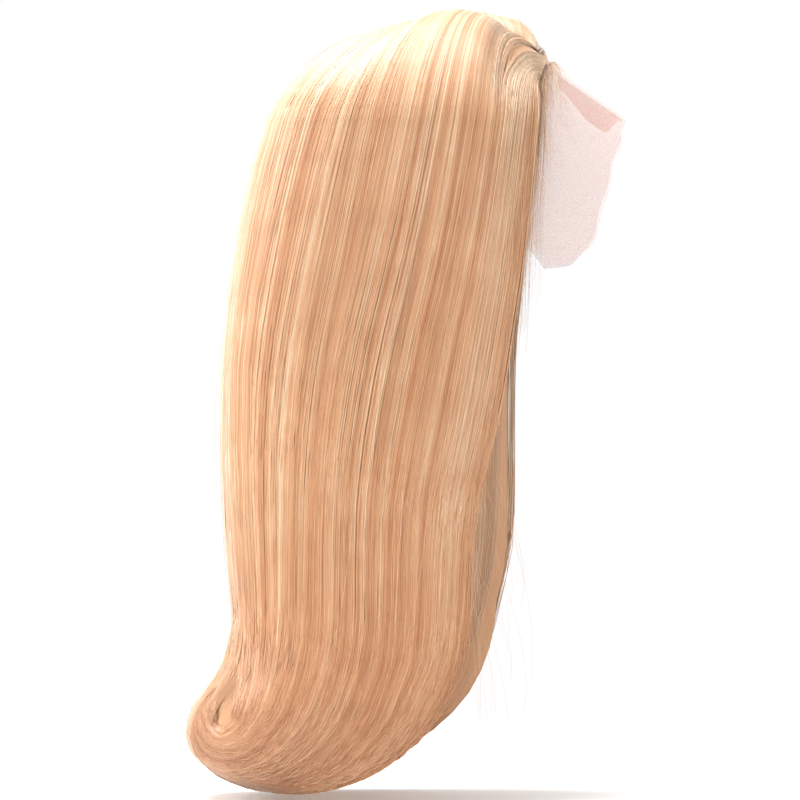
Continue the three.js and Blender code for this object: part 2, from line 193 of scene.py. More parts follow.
@dataclass(frozen=True)
class HeadForm:
    """The head that the cap fits: an ellipse in plan with a fuller curve from side to crown."""

    half_width: float = 79.0
    half_depth: float = 100.0
    half_height: float = 112.0
    fullness: float = 2.9
    centre_y: float = -5.0
    edge: Table = Table(
        ("azimuth", "z"),
        (
            (0, -30), (25, -36), (45, -62), (62, -100), (75, -128), (88, -120),
            (102, -108), (122, -130), (146, -164), (166, -178), (180, -180),
        ),
    )

    def point(self, azimuth: Array, fall: Array, offset: float) -> Array:
        """Points on the head.

        Args:
            azimuth: Angle round from the forehead towards the wearer's left, in radians.
            fall: Angle down from the crown, in radians.
            offset: How far the head is grown.

        Returns:
            Points with a last axis of x, y and z.
        """
        power = 2.0 / self.fullness
        level = np.maximum(np.sin(fall), 0.0) ** power
        upright = np.sign(np.cos(fall)) * np.abs(np.cos(fall)) ** power
        return np.stack(
            (
                (self.half_width + offset) * np.sin(azimuth) * level,
                self.centre_y - (self.half_depth + offset) * np.cos(azimuth) * level,
                -self.half_height + (self.half_height + offset) * upright,
            ),
            axis=-1,
        )

    def edge_fall(self, azimuth: Array) -> Array:
        """Where the cap's edge is, the same on both sides.

        Args:
            azimuth: Angle round from the forehead, in degrees.

        Returns:
            The fall angle of the edge, in radians.
        """
        round_deg = np.abs((azimuth + 540.0) % 360.0 - 180.0)
        share = (self.edge.read("z", round_deg) + self.half_height) / self.half_height
        return np.arccos(np.sign(share) * np.abs(share) ** (self.fullness / 2.0))

    def height(self, x: Array, y: Array, offset: float) -> Array:
        """Height of the head over a place in plan.

        Args:
            x: Place across.
            y: Place from front to back.
            offset: How far the head is grown.

        Returns:
            The z of the head's top at each place.
        """
        across = (x / (self.half_width + offset)) ** 2
        plan = across + ((y - self.centre_y) / (self.half_depth + offset)) ** 2
        left = np.maximum(1.0 - plan ** (self.fullness / 2.0), 0.0)
        return -self.half_height + (self.half_height + offset) * left ** (1.0 / self.fullness)

    def clear(self, points: Array, offset: float) -> Array:
        """Points moved straight out until they clear the head.

        Args:
            points: Points with a last axis of x, y and z.
            offset: How far they stay off the head.

        Returns:
            The moved points.
        """
        centre = np.array((0.0, self.centre_y, -self.half_height))
        away = points - centre
        across = away[..., 0] / (self.half_width + offset)
        plan = across**2 + (away[..., 1] / (self.half_depth + offset)) ** 2
        upright = np.abs(away[..., 2]) / (self.half_height + offset)
        share = (plan ** (self.fullness / 2.0) + upright**self.fullness) ** (1.0 / self.fullness)
        return centre + away / np.clip(share, 1e-3, 1.0)[..., None]


@dataclass(frozen=True)
class HairForm:
    """Where the combed hair lies: over the head from the parting, down in level sections, round the roll.

    A strand is named by u, from the right front edge (-1) round the back (0) to the left front edge (1).
    The sections give, for each height, the y of both front edges and of the back, the half width, how deep
    the hair is behind and beside, the y of the back corner, and how far the front is tucked in. The lifts
    give, from the front edge (0) to the back corner (1), how high strands rise off their roots on the right
    and the left, how far back the right ones reach and how high their shoulder stands, and how far forward
    the left ones spring.
    """

    head: HeadForm = HeadForm()
    sections: Table = Table(
        ("z", "right", "left", "back", "half", "back_depth", "depth", "corner", "tuck"),
        (
            (-75, -78, -78, 123, 96, 26, 18, 74, 20),
            (-120, -73, -73, 136, 101, 26, 19, 86, 18),
            (-175, -67, -68, 146, 105, 26, 20, 97, 14),
            (-235, -58, -61, 153.5, 109, 26, 20, 105, 11),
            (-295, -48, -60, 155.5, 112, 26, 20, 108, 9),
            (-350, -34, -60, 154, 115, 26, 20, 108, 7),
            (-400, -29, -58, 150, 117, 25, 20, 108, 7),
            (-440, -28, -49, 146, 119, 25, 20, 108, 7),
            (-470, -25, -37, 150, 121, 30, 20, 108, 7),
            (-490, -18, -26, 164, 122, 42, 20, 108, 7),
            (-510, -9, -13, 178, 123, 52, 20, 108, 7),
            (-529, 2, 0, 182, 122, 54, 20, 108, 7),
            (-546, 15, 14, 174, 119, 46, 18, 108, 7),
            (-560, 30, 30, 154, 112, 28, 14, 108, 7),
            (-568, 48, 48, 132, 101, 10, 7, 108, 7),
        ),
    )
    lifts: Table = Table(
        ("share", "right", "reach", "shoulder", "left", "forward"),
        (
            (0, 6, 0.45, 26, 8.5, 5),
            (0.06, 6, 0.6, 27, 29, 5),
            (0.14, 7, 0.8, 30, 41, 2),
            (0.23, 8, 0.9, 38, 40.5, 0),
            (0.27, 9, 0.6, 44, 40, 0),
            (0.31, 18, 0.45, 50, 39, 0),
            (0.42, 26, 0.4, 50, 37.5, 0),
            (0.55, 30, 0.4, 50, 36, 0),
            (0.7, 27, 0.45, 50, 27.5, 0),
            (0.85, 19, 0.45, 50, 14, 0),
            (1, 4, 0.45, 50, 4, 0),
        ),
    )
    top_z: float = -75.0
    bottom_z: float = -568.0
    middle_y: float = 30.0
    roundness: float = 2.6
    corner_u: float = 0.36
    part_x: float = -24.0
    part_front_y: float = -80.0
    part_back_y: float = -16.0
    part_half_gap: float = 1.2
    crown_radius: float = 2.5
    root_rise: float = 4.0
    least_hair: float = 3.0
    hairline_share: float = 0.2
    hairline_inset: float = 0.94
    part_bunching: float = 0.5
    fray: float = 0.03
    temple_azimuth: float = -42.0
    part_azimuth: float = -22.4
    root_reach_x: float = 0.15
    root_reach_y: float = 0.45
    back_lift: float = 4.0
    left_shoulder: float = 50.0
    back_shoulder: float = 44.0
    eye_y: float = 152.0
    eye_z: float = -517.0
    eye_depth: float = 12.0
    eye_radius: float = 6.5
    roll_top: float = 26.0
    sweep_start_z: float = -437.0
    cap_wall: float = 1.0
    inner_clearance: float = 2.2
    least_run: float = 25.0
    back_limit: float = 0.985
    back_depth_from: float = 1.3
    edge_depth: float = 0.45
    edge_share: float = 0.25
    root_depth: float = 0.35
    slope_step: float = 20.0
    shoulder_blend: Pair = (0.3, 0.85)

    def side_share(self, u: Array) -> Array:
        """Share of the way from front edge (0) to back corner (1), a little under 0 on a frayed edge."""
        return np.clip((1.0 - np.abs(u)) / (1.0 - self.corner_u), -self.fray, 1.0)

    def front(self, u: Array, z: Array) -> Array:
        """The front edge's y at heights z, on the sides that strands u are on."""
        return np.where(u < 0, self.sections.read("right", z), self.sections.read("left", z))

    def half_width(self, u: Array, y: Array, z: Array) -> Array:
        """How far out the hair's outer face is.

        Args:
            u: Strand, for its side.
            y: Place from front to back.
            z: Height.

        Returns:
            The unsigned x of the outer face.
        """
        run = np.maximum(self.middle_y - self.front(u, z), self.least_run)
        to_front = np.maximum(self.middle_y - y, 0.0) / run
        tuck = self.sections.read("tuck", z) * np.clip(to_front, 0.0, 1.0) ** 2
        to_back = (y - self.middle_y) / (self.sections.read("back", z) - self.middle_y)
        bend = np.clip(to_back, 0.0, self.back_limit) ** self.roundness
        return self.sections.read("half", z) * (1.0 - bend) ** (1.0 / self.roundness) - tuck

    def plan(self, u: Array, z: Array) -> Array:
        """Where strands are in a level section.

        Args:
            u: Strands.
            z: Heights, the same shape.

        Returns:
            Points with a last axis of x, y and z.
        """
        back = self.sections.read("back", z) - self.middle_y
        corner_y = self.sections.read("corner", z)
        side_y = mix(self.front(u, z), corner_y, self.side_share(u))
        power = 2.0 / self.roundness
        corner = np.arccos(((corner_y - self.middle_y) / back) ** (1.0 / power))
        angle = corner * np.minimum(np.abs(u) / self.corner_u, 1.0)
        back_x = self.sections.read("half", z) * np.sin(angle) ** power
        back_y = self.middle_y + back * np.cos(angle) ** power
        beside = np.abs(u) >= self.corner_u
        x = np.where(beside, self.half_width(u, side_y, z), back_x)
        y = np.where(beside, side_y, back_y)
        return np.stack((side_sign(u) * x, y, z + 0.0 * x), axis=-1)

    def depth(self, u: Array, z: Array) -> Array:
        """How deep the hair is under its outer face.

        Args:
            u: Strands.
            z: Heights, the same shape.

        Returns:
            The depth at each place.
        """
        to_back = smooth_step(1.0 - np.abs(u), 1.0 - self.back_depth_from * self.corner_u, 1.0)
        edge = mix(self.edge_depth, 1.0, smooth_step(self.side_share(u), 0.0, self.edge_share))
        return mix(self.sections.read("depth", z) * edge, self.sections.read("back_depth", z), to_back)

    def dent(self, y: Array, z: Array) -> Array:
        """How far the eye of the roll dents the hair at its ends."""
        away = np.hypot(y - self.eye_y, z - self.eye_z)
        return self.eye_depth * np.exp(-((away / self.eye_radius) ** 2))

    def root(self, u: Array) -> Array:
        """Where strands leave the cap: along the right hairline, the parting, and round its crown end.

        Args:
            u: Strands.

        Returns:
            Points with a last axis of x, y and z.
        """
        share = self.side_share(u)
        before = self.hairline_share
        behind = np.maximum(share - before, 0.0) / (1.0 - before)
        along = np.where(u < 0, behind**self.part_bunching, share)
        angle = 0.5 * math.pi * np.clip(u / self.corner_u, -1.0, 1.0)
        beside = np.abs(u) >= self.corner_u
        side_x = self.part_x + side_sign(u) * mix(self.part_half_gap, self.crown_radius, along)
        x = np.where(beside, side_x, self.part_x + self.crown_radius * np.sin(angle))
        round_end = np.where(beside, 0.0, self.crown_radius * np.cos(angle))
        y = mix(self.part_front_y, self.part_back_y, along) + round_end
        parted = np.stack((x, y, self.head.height(x, y, self.cap_wall) + self.root_rise), axis=-1)
        azimuth = mix(self.temple_azimuth, self.part_azimuth, np.clip(share / before, 0.0, 1.0))
        fall = self.head.edge_fall(azimuth) * self.hairline_inset
        hairline = self.head.point(np.radians(azimuth), fall, self.cap_wall + self.root_rise)
        on_hairline = (u < 0) & (share < before)
        return np.where(on_hairline[..., None], hairline, parted)

    def crown(self, u: Array, t: Array) -> Array:
        """Strands from the parting over the head to the first level section.

        Args:
            u: Strands.
            t: Share of the way, the same shape.

        Returns:
            Points with a last axis of x, y and z.
        """
        root = self.root(u)
        foot = self.plan(u, np.full_like(u, self.top_z))
        share = self.side_share(u)
        side_lift = np.where(u < 0, self.lifts.read("right", share), self.lifts.read("left", share))
        lift = mix(side_lift, self.back_lift, smooth_step(1.0 - np.abs(u) / self.corner_u, 0.0, 1.0))
        forward = np.where(u > 0, self.lifts.read("forward", share), 0.0)
        reach = np.where(u > 0, self.root_reach_y, self.lifts.read("reach", share))
        way = foot - root
        step = (self.root_reach_x * way[..., 0], reach * way[..., 1] - forward, lift)
        rise = root + np.stack(step, axis=-1)
        side_rise = np.where(u > 0, self.left_shoulder, self.lifts.read("shoulder", share))
        rise_by = mix(side_rise, self.back_shoulder, smooth_step(1.0 - np.abs(u), *self.shoulder_blend))
        lower = self.plan(u, np.full_like(u, self.top_z - self.slope_step))
        shoulder = foot + (foot - lower) * (rise_by / self.slope_step)[..., None]
        return curve((root, rise, shoulder, foot), t[..., None])


class Flow:
    """A field of strands on the hair's outer face: a point for each strand u and share v from root to tip."""

    lane_width: float = 290.0
    calm_from: float = 0.62
    calm_over: float = 0.12
    calm_share: float = 0.5
    lock_rise: Pair = (0.02, 0.2)
    slope_step: float = 0.006
    wander: Wave = Wave(3.0, 45.0, 4.0, 11)
    locks: tuple[Wave, ...] = (Wave(1.3, 17.0, 2.4, 12), Wave(0.45, 7.0, 3.2, 13), Wave(0.14, 2.6, 5.0, 14))

    def __init__(self, form: HairForm) -> None:
        """Keep the form that the strands lie on."""
        self.form = form

    def path(self, u: Array, v: Array) -> Array:
        """Points of strands u at shares v."""
        raise NotImplementedError

    def normal(self, u: Array, v: Array) -> Array:
        """Outward normals of the face that the strands lie on.

        Args:
            u: Strands.
            v: Shares from root to tip, the same shape.

        Returns:
            Unit vectors with a last axis of x, y and z.
        """
        step = self.slope_step
        across = self.path(u + step, v) - self.path(u - step, v)
        along = self.path(u, np.minimum(v + step, 1.0)) - self.path(u, np.maximum(v - step, 0.0))
        normal = unit(np.cross(along, across))
        here = self.path(u, v)
        heart = np.zeros_like(here)
        heart[..., 1] = self.form.middle_y
        heart[..., 2] = np.minimum(here[..., 2], -self.form.head.half_height)
        outward = np.sum(normal * (here - heart), axis=-1, keepdims=True)
        return np.where(outward < 0, -normal, normal)

    def relief(self, u: Array, v: Array) -> Array:
        """How far the locks stand out of the face: broad soft locks, smaller ones and fine ridges.

        Args:
            u: Strands.
            v: Shares from root to tip, the same shape.

        Returns:
            The height of the locks at each place.
        """
        lane = u * self.lane_width
        lane = lane + self.wander.read(lane, v)
        height = sum(lock.read(lane, v) for lock in self.locks)
        calm = mix(1.0, self.calm_share, smooth_step(v, self.calm_from, self.calm_from + self.calm_over))
        return height * calm * smooth_step(v, *self.lock_rise)


class FallFlow(Flow):
    """The whole fall of hair as level sections, from the parting to the lowest section."""

    crown_share: float = 0.28
    calm_from: float = 0.78

    def path(self, u: Array, v: Array) -> Array:
        """Points over the head, then down through the level sections.

        Args:
            u: Strands.
            v: Shares from root to tip, the same shape.

        Returns:
            Points with a last axis of x, y and z.
        """
        form = self.form
        over = form.crown(u, way_between(v, 0.0, self.crown_share))
        below = form.plan(u, mix(form.top_z, form.bottom_z, way_between(v, self.crown_share, 1.0)))
        below[..., 0] -= np.sign(below[..., 0]) * form.dent(below[..., 1], below[..., 2])
        points = np.where((v < self.crown_share)[..., None], over, below)
        return form.head.clear(points, form.cap_wall + form.least_hair)


class SweepFlow(Flow):
    """Strands of a side: over the head, straight down, then swept back round the eye of the roll.

    The table gives, for the y at which a strand starts to turn, how far its lowest point is under the
    eye, that point's y, how far it comes out behind the eye, and the height of its rearmost point.
    """

    crown_share: float = 0.3
    fall_share: float = 0.62
    last_turn: float = math.radians(262)
    rear_limit: float = 0.96
    top_share: float = 0.2
    turn_blend: float = 0.03
    face_step: float = 1.0
    swirl: Table = Table(
        ("start_y", "drop", "low_y", "behind", "rise"),
        (
            (146, 1, 152, 4, 14),
            (133, 4.5, 152, 8.5, 15),
            (124, 10, 152.5, 15, 11),
            (103, 18, 153, 19, 4),
            (87, 28, 152, 22, -4),
            (58, 38, 145, 23.5, -10),
            (33, 46, 133, 24, -10),
            (-25, 51, 105, 24, -10),
        ),
    )

    def path(self, u: Array, v: Array) -> Array:
        """Points over the head, straight down, then round the eye of the roll.

        Args:
            u: Strands.
            v: Shares from root to tip, the same shape.

        Returns:
            Points with a last axis of x, y and z.
        """
        form = self.form
        over = form.crown(u, way_between(v, 0.0, self.crown_share))
        down = way_between(v, self.crown_share, self.fall_share)
        fall = form.plan(u, mix(form.top_z, form.sweep_start_z, down))
        turn = way_between(v, self.fall_share, 1.0) * self.last_turn
        points = np.where((v < self.crown_share)[..., None], over, fall)
        points = np.where((v < self.fall_share)[..., None], points, self.sweep(u, turn))
        return form.head.clear(points, form.cap_wall + form.least_hair)

    def sweep(self, u: Array, turn: Array) -> Array:
        """The swept end of strands.

        Args:
            u: Strands.
            turn: Angle turned, from 0 (hanging) through a half turn (rising behind).

        Returns:
            Points with a last axis of x, y and z.
        """
        form = self.form
        start_y = form.plan(u, np.full_like(u, form.sweep_start_z))[..., 1]
        drop, low_y, behind, rise = (self.swirl.read(name, start_y) for name in self.swirl.columns[1:])
        low_z = form.eye_z - drop
        rear_y = form.eye_y + behind
        rear_z = form.eye_z + rise
        top_y = form.eye_y + self.top_share * behind
        top_z = form.eye_z + form.roll_top
        cosine = np.cos(turn)
        sine = np.sin(turn)
        hanging = turn < 0.5 * math.pi
        rising = turn > math.pi
        y = np.where(hanging, low_y - (low_y - start_y) * cosine, low_y - (rear_y - low_y) * cosine)
        y = np.where(rising, top_y - (rear_y - top_y) * cosine, y)
        z = np.where(hanging, mix(form.sweep_start_z, low_z, sine), mix(rear_z, low_z, sine))
        z = np.where(rising, mix(rear_z, top_z, -sine), z)
        rear = form.middle_y + (form.sections.read("back", z) - form.middle_y) * self.rear_limit
        y = np.minimum(y, rear)
        return np.stack((side_sign(u) * self.width(u, y, z), y, z), axis=-1)

    def width(self, u: Array, y: Array, z: Array) -> Array:
        """The unsigned x of the outer face, with the eye's dent."""
        return self.form.half_width(u, y, z) - self.form.dent(y, z)

    def normal(self, u: Array, v: Array) -> Array:
        """Outward normals, taken from the outer face itself where the strands turn.

        Args:
            u: Strands.
            v: Shares from root to tip, the same shape.

        Returns:
            Unit vectors with a last axis of x, y and z.
        """
        here = self.path(u, v)
        y = here[..., 1]
        z = here[..., 2]
        step = self.face_step
        to_back = (self.width(u, y + step, z) - self.width(u, y - step, z)) / (2.0 * step)
        to_top = (self.width(u, y, z + step) - self.width(u, y, z - step)) / (2.0 * step)
        face = unit(np.stack((side_sign(u), -to_back, -to_top), axis=-1))
        share = smooth_step(v, self.fall_share - self.turn_blend, self.fall_share + self.turn_blend)
        return unit(mix(super().normal(u, v), face, share[..., None]))


class InnerFlow(FallFlow):
    """The inner face of the fall, towards the neck."""

    root_blend: float = 0.2

    def path(self, u: Array, v: Array) -> Array:
        """Points under the outer face, by the depth of the hair.

        Args:
            u: Strands.
            v: Shares from root to tip, the same shape.

        Returns:
            Points with a last axis of x, y and z.
        """
        fall = FallFlow(self.form)
        face = fall.path(u, v)
        thin = mix(self.form.root_depth, 1.0, smooth_step(v, 0.0, self.root_blend))
        depth = self.form.depth(u, face[..., 2]) * thin
        inside = face - fall.normal(u, v) * depth[..., None]
        return self.form.head.clear(inside, self.form.inner_clearance)

    def normal(self, u: Array, v: Array) -> Array:
        """Normals towards the neck."""
        return -super().normal(u, v)


# Mesh building


def finish_piece(obj: bpy.types.Object, replaces: tuple[str, ...] = ()) -> None:
    """Put a piece on the wig's one body, hide the CAD nodes that it stands for, and log its size.

    Args:
        obj: The piece.
        replaces: CAD nodes that the piece stands for.
    """
    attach(obj, BODY)
    if replaces:
        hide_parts(*replaces)
    LOG.info("%s: %d faces", obj.name, len(obj.data.polygons))


def link_mesh(name: str, mesh: bpy.types.Mesh, material: bpy.types.Material) -> bpy.types.Object:
    """Make an object of a mesh and dress it.

    Args:
        name: Name of the object.
        mesh: Its mesh.
        material: Its finish.

    Returns:
        The object, in the scene.
    """
    mesh.materials.append(material)
    obj = bpy.data.objects.new(name, mesh)
    bpy.context.scene.collection.objects.link(obj)
    return obj


def grid_sheet(name: str, points: Array, wraps: bool = False, lanes: bool = False) -> bpy.types.Mesh:
    """A smooth sheet from a grid of points, with a UV map in metres along its rows and columns.

    Args:
        name: Name of the mesh.
        points: Points in millimetres, rows by columns by 3.
        wraps: Whether the last column meets the first.
        lanes: Whether the map keeps one value along each column, so that streaks follow the columns.

    Returns:
        The mesh, with UV map "Weave".
    """
    rows, columns = points.shape[:2]
    along = np.cumsum(np.linalg.norm(np.diff(points, axis=0, prepend=points[:1]), axis=2), axis=0)
    across = np.cumsum(np.linalg.norm(np.diff(points, axis=1, prepend=points[:, :1]), axis=2), axis=1)
    across -= across[:, -1:] * 0.5
    if lanes:
        across = np.repeat(across[rows // 2][None], rows, axis=0)
    bm = bmesh.new()
    bmesh.ops.create_grid(bm, x_segments=columns - 1, y_segments=rows - 1, size=0.5)
    uv = bm.loops.layers.uv.new("Weave")
    for vert in bm.verts:
        column = round((vert.co.x + 0.5) * (columns - 1))
        row = round((vert.co.y + 0.5) * (rows - 1))
        for loop in vert.link_loops:
            loop[uv].uv = (across[row, column] * MM, along[row, column] * MM)
        vert.co = points[row, column] * MM
    if wraps:
        bmesh.ops.remove_doubles(bm, verts=bm.verts, dist=1e-6)
    bmesh.ops.recalc_face_normals(bm, faces=bm.faces)
    for face in bm.faces:
        face.smooth = True
    mesh = bpy.data.meshes.new(name)
    bm.to_mesh(mesh)
    bm.free()
    return mesh


@dataclass
class Strands:
    """Fine closed strands joined into one mesh: three-sided, tapered, with a tone each.

    The roundness is 0 for a strand shaded as the face that it lies on, and 1 for one shaded as a loose
    round hair. Combed hair is between the two, which gives it a silky look.
    """

    paths: Array
    normals: Array
    radii: Array
    tones: Array
    roundness: Array
    flatness: float = 0.75
    cell_margin: float = 0.1
    cap_cell: tuple[Pair, ...] = ((0.02, 0.02), (0.06, 0.02), (0.04, 0.06))

    def mesh(self, name: str) -> bpy.types.Mesh:
        """Build the joined mesh.

        Args:
            name: Name of the mesh.

        Returns:
            A mesh with a "tone" attribute and the UV map "OFBake", one cell of the map a strand.
        """
        ring = self.rings()
        verts = self.paths[:, :, None] + ring * self.radii[:, :, None, None]
        quads, caps = self.faces()
        loops = np.concatenate((quads.ravel(), caps.ravel()))
        totals = np.repeat((4, STRAND_SIDES), (len(quads), len(caps)))
        starts = np.concatenate(((0,), np.cumsum(totals)[:-1]))
        mesh = bpy.data.meshes.new(name)
        mesh.vertices.add(verts[..., 0].size)
        mesh.vertices.foreach_set("co", (verts * MM).astype(np.float32).ravel())
        mesh.loops.add(len(loops))
        mesh.loops.foreach_set("vertex_index", loops.astype(np.int32))
        mesh.polygons.add(len(totals))
        mesh.polygons.foreach_set("loop_start", starts.astype(np.int32))
        mesh.polygons.foreach_set("use_smooth", np.ones(len(totals), dtype=bool))
        mesh.update(calc_edges=True)
        roundness = self.roundness[:, None, None, None]
        shading = unit(mix(unit(self.normals)[:, :, None], unit(ring), roundness))
        facing = mesh.attributes.new("custom_normal", "FLOAT_VECTOR", "POINT")
        facing.data.foreach_set("vector", shading.astype(np.float32).ravel())
        tone = mesh.attributes.new("tone", "FLOAT", "POINT")
        tone.data.foreach_set("value", np.repeat(self.tones.ravel(), STRAND_SIDES).astype(np.float32))
        self.cell_map(mesh)
        return mesh

    def rings(self) -> Array:
        """The corners of each ring round the paths.

        Returns:
            Steps from the path for a radius of 1, flatter along the normal than across.
        """
        tangent = unit(np.gradient(self.paths, axis=1))
        flank = unit(np.cross(tangent, self.normals))
        out = unit(np.cross(flank, tangent))
        angles = np.radians((90.0, 210.0, 330.0))[:, None]
        return flank[:, :, None] * np.cos(angles) + out[:, :, None] * (self.flatness * np.sin(angles))

    def faces(self) -> tuple[Array, Array]:
        """Number the corners of every face.

        Returns:
            The quads between rings, and the triangles that cap both ends.
        """
        count, stations = self.paths.shape[:2]
        first = np.arange(count) * stations * STRAND_SIDES
        last = first + (stations - 1) * STRAND_SIDES
        corner = np.arange(STRAND_SIDES)[None, None, :]
        turn = (corner + 1) % STRAND_SIDES
        low = first[:, None, None] + (np.arange(stations - 1) * STRAND_SIDES)[None, :, None]
        high = low + STRAND_SIDES
        quads = np.stack((low + corner, high + corner, high + turn, low + turn), axis=-1)
        start_caps = np.stack((first, first + 1, first + 2), axis=-1)
        end_caps = np.stack((last + 2, last + 1, last), axis=-1)
        return quads.reshape(-1, 4), np.concatenate((start_caps, end_caps))

    def cell_map(self, mesh: bpy.types.Mesh) -> None:
        """Give each strand its own cell of the UV map.

        Args:
            mesh: The joined mesh.
        """
        count, stations = self.paths.shape[:2]
        side = math.ceil(math.sqrt(count))
        cell = np.arange(count)
        cell_uv = np.stack((cell % side, cell // side), axis=-1) / side
        across = (np.arange(STRAND_SIDES)[:, None] + np.array((0, 0, 1, 1))) / STRAND_SIDES
        up = (np.arange(stations - 1)[:, None] + np.array((0, 1, 1, 0))) / (stations - 1)
        local = np.empty((stations - 1, STRAND_SIDES, 4, 2))
        local[..., 0] = across[None]
        local[..., 1] = up[:, None]
        inset = self.cell_margin + (1.0 - 2.0 * self.cell_margin) * local
        quads = cell_uv[:, None, None, None] + inset[None] / side
        ends = cell_uv[:, None] + np.array(self.cap_cell)[None] / side
        uv = np.concatenate([part.reshape(-1, 2) for part in (quads, ends, ends)])
        layer = mesh.uv_layers.new(name="OFBake")
        layer.data.foreach_set("uv", uv.astype(np.float32).ravel())


# Waves that draw strands into locks, part single strands, and shade whole locks
SWAY = Wave(1.0, 9.0, 2.5, 31)
DRIFT = Wave(1.0, 34.0, 4.0, 35)
LOOSE = Wave(0.6, 0.37, 4.0, 32)
LOCK_TONES = (Wave(0.16, 5.0, 0.0, 33), Wave(0.2, 14.0, 0.0, 34))


@dataclass
class Comb:
    """How a field of strands is combed: how many, how deep, how fine and in what shades.

    A real hair is under 0.1 mm across, too fine to show, so strands are drawn coarser and fewer.
    """

    flow: Flow
    strands: int
    u_from: float
    u_to: float
    stations: tuple[float, ...]
    depth: Pair = (-0.2, 0.3)
    radius: Pair = (0.15, 0.3)
    reach: Pair = (0.9, 1.0)
    root_radius: float = 0.6
    root_until: float = 0.08
    tip_radius: float = 0.3
    tip_from: float = 0.82
    sway: float = 0.006
    sway_span: Pair = (0.08, 0.5)
    loose_span: Pair = (0.05, 0.4)
    drift: float = 0.02
    drift_span: Pair = (0.1, 0.4)
    bend: float = 0.06
    bend_span: Pair = (0.34, 0.54)
    bend_from: float = 0.14
    tone: Pair = (0.14, 0.84)
    # Painted highlight: tones are raised at the crown, and at the back by a share of that, for the light from
    # above and behind
    pale: float = 0.3
    crown_highlight_span: Pair = (0.1, 0.36)
    back_highlight_share: float = 0.7
    back_highlight_span: Pair = (0.15, 0.4)
    # Painted shade: tones are darkened low down on the fall
    deep: float = 0.2
    low_shade_span: Pair = (340.0, 480.0)
    roundness: float = 0.42
    right_edge_roundness: float = 0.55
    left_edge_roundness: float = 1.0
    edge_span: Pair = (0.95, 0.99)
    fray: float = 0.0
    seed: int = 0

    def comb(self) -> Strands:
        """Lay out the strands.

        Returns:
            The strands' paths, normals, radii, tones and roundness.
        """
        rng = np.random.default_rng(SEED + self.seed)
        form = self.flow.form
        place = (np.arange(self.strands) + rng.uniform(0.0, 1.0, self.strands)) / self.strands
        home = mix(self.u_from, self.u_to, place)[:, None]
        reach = rng.uniform(*self.reach, self.strands)[:, None]
        station = np.asarray(self.stations)[None, :]
        share = station / self.stations[-1]
        v = station * (1.0 - (1.0 - reach) * share**2)
        u = self.wander(home, v)
        normals = self.flow.normal(u, v)
        out = self.flow.relief(u, v) + rng.uniform(*self.depth, self.strands)[:, None]
        points = form.head.clear(self.flow.path(u, v) + normals * out[..., None], form.inner_clearance)
        root = mix(self.root_radius, 1.0, smooth_step(v, 0.0, self.root_until))
        tip = mix(1.0, self.tip_radius, smooth_step(share, self.tip_from, 1.0))
        radii = rng.uniform(*self.radius, self.strands)[:, None] * (root * tip)
        own_tone = rng.uniform(*self.tone, self.strands)[:, None]
        tones = np.clip(own_tone + self.shade(home, u, v, points[..., 2]), 0.0, 1.0)
        edge = np.where(home < 0.0, self.right_edge_roundness, self.left_edge_roundness)
        at_edge = smooth_step(np.abs(home), *self.edge_span)
        roundness = mix(self.roundness, np.maximum(edge, self.roundness), at_edge)
        return Strands(points, normals, radii, tones, roundness[:, 0])

    def wander(self, home: Array, v: Array) -> Array:
        """Draw strands into locks, let single ones part from them, and bend the locks back on their way.

        Args:
            home: Strands at their roots.
            v: Shares from root to tip.

        Returns:
            The strand that each one lies on, along its way.
        """
        lane = home * self.flow.lane_width
        drawn = SWAY.read(lane, v) * self.sway * smooth_step(v, *self.sway_span)
        drawn = drawn + DRIFT.read(lane, v) * self.drift * smooth_step(v, *self.drift_span)
        loose = LOOSE.read(lane, v) * self.sway * smooth_step(v, *self.loose_span)
        low, high = sorted((self.u_from, self.u_to))
        u = np.clip(home + drawn + loose, low - self.fray, high + self.fray)
        middle = np.sin(math.pi * way_between(np.abs(home), self.bend_from, 1.0))
        return u - np.sign(home) * middle * self.bend * smooth_step(v, *self.bend_span)

    def shade(self, home: Array, u: Array, v: Array, z: Array) -> Array:
        """How far tones are from a strand's own: by lock, with painted highlight at the crown and back and
        painted shade low down.

        Args:
            home: Strands at their roots.
            u: Strands along their way.
            v: Shares from root to tip.
            z: Heights.

        Returns:
            The change of tone along each strand.
        """
        lane = home * self.flow.lane_width
        locks = sum(lock.read(lane, home) for lock in LOCK_TONES)
        # Painted highlight: paler tones at the crown and down the back, for the light from above and behind
        crown = self.pale * (1.0 - smooth_step(v, *self.crown_highlight_span))
        back = self.back_highlight_share * self.pale * (1.0 - smooth_step(np.abs(u), *self.back_highlight_span))
        # Painted shade: darker low down
        return locks + crown + back - self.deep * smooth_step(-z, *self.low_shade_span)


# Materials


def linear(hex_code: str) -> tuple[float, float, float, float]:
    """Turn an sRGB hex colour into linear values with full alpha.

    Args:
        hex_code: Colour such as "#e8c9a0".

    Returns:
        Red, green, blue and alpha.
    """
    parts = [int(hex_code[i : i + 2], 16) / 255.0 for i in (1, 3, 5)]
    values = [c / 12.92 if c <= 0.04045 else ((c + 0.055) / 1.055) ** 2.4 for c in parts]
    return (values[0], values[1], values[2], 1.0)


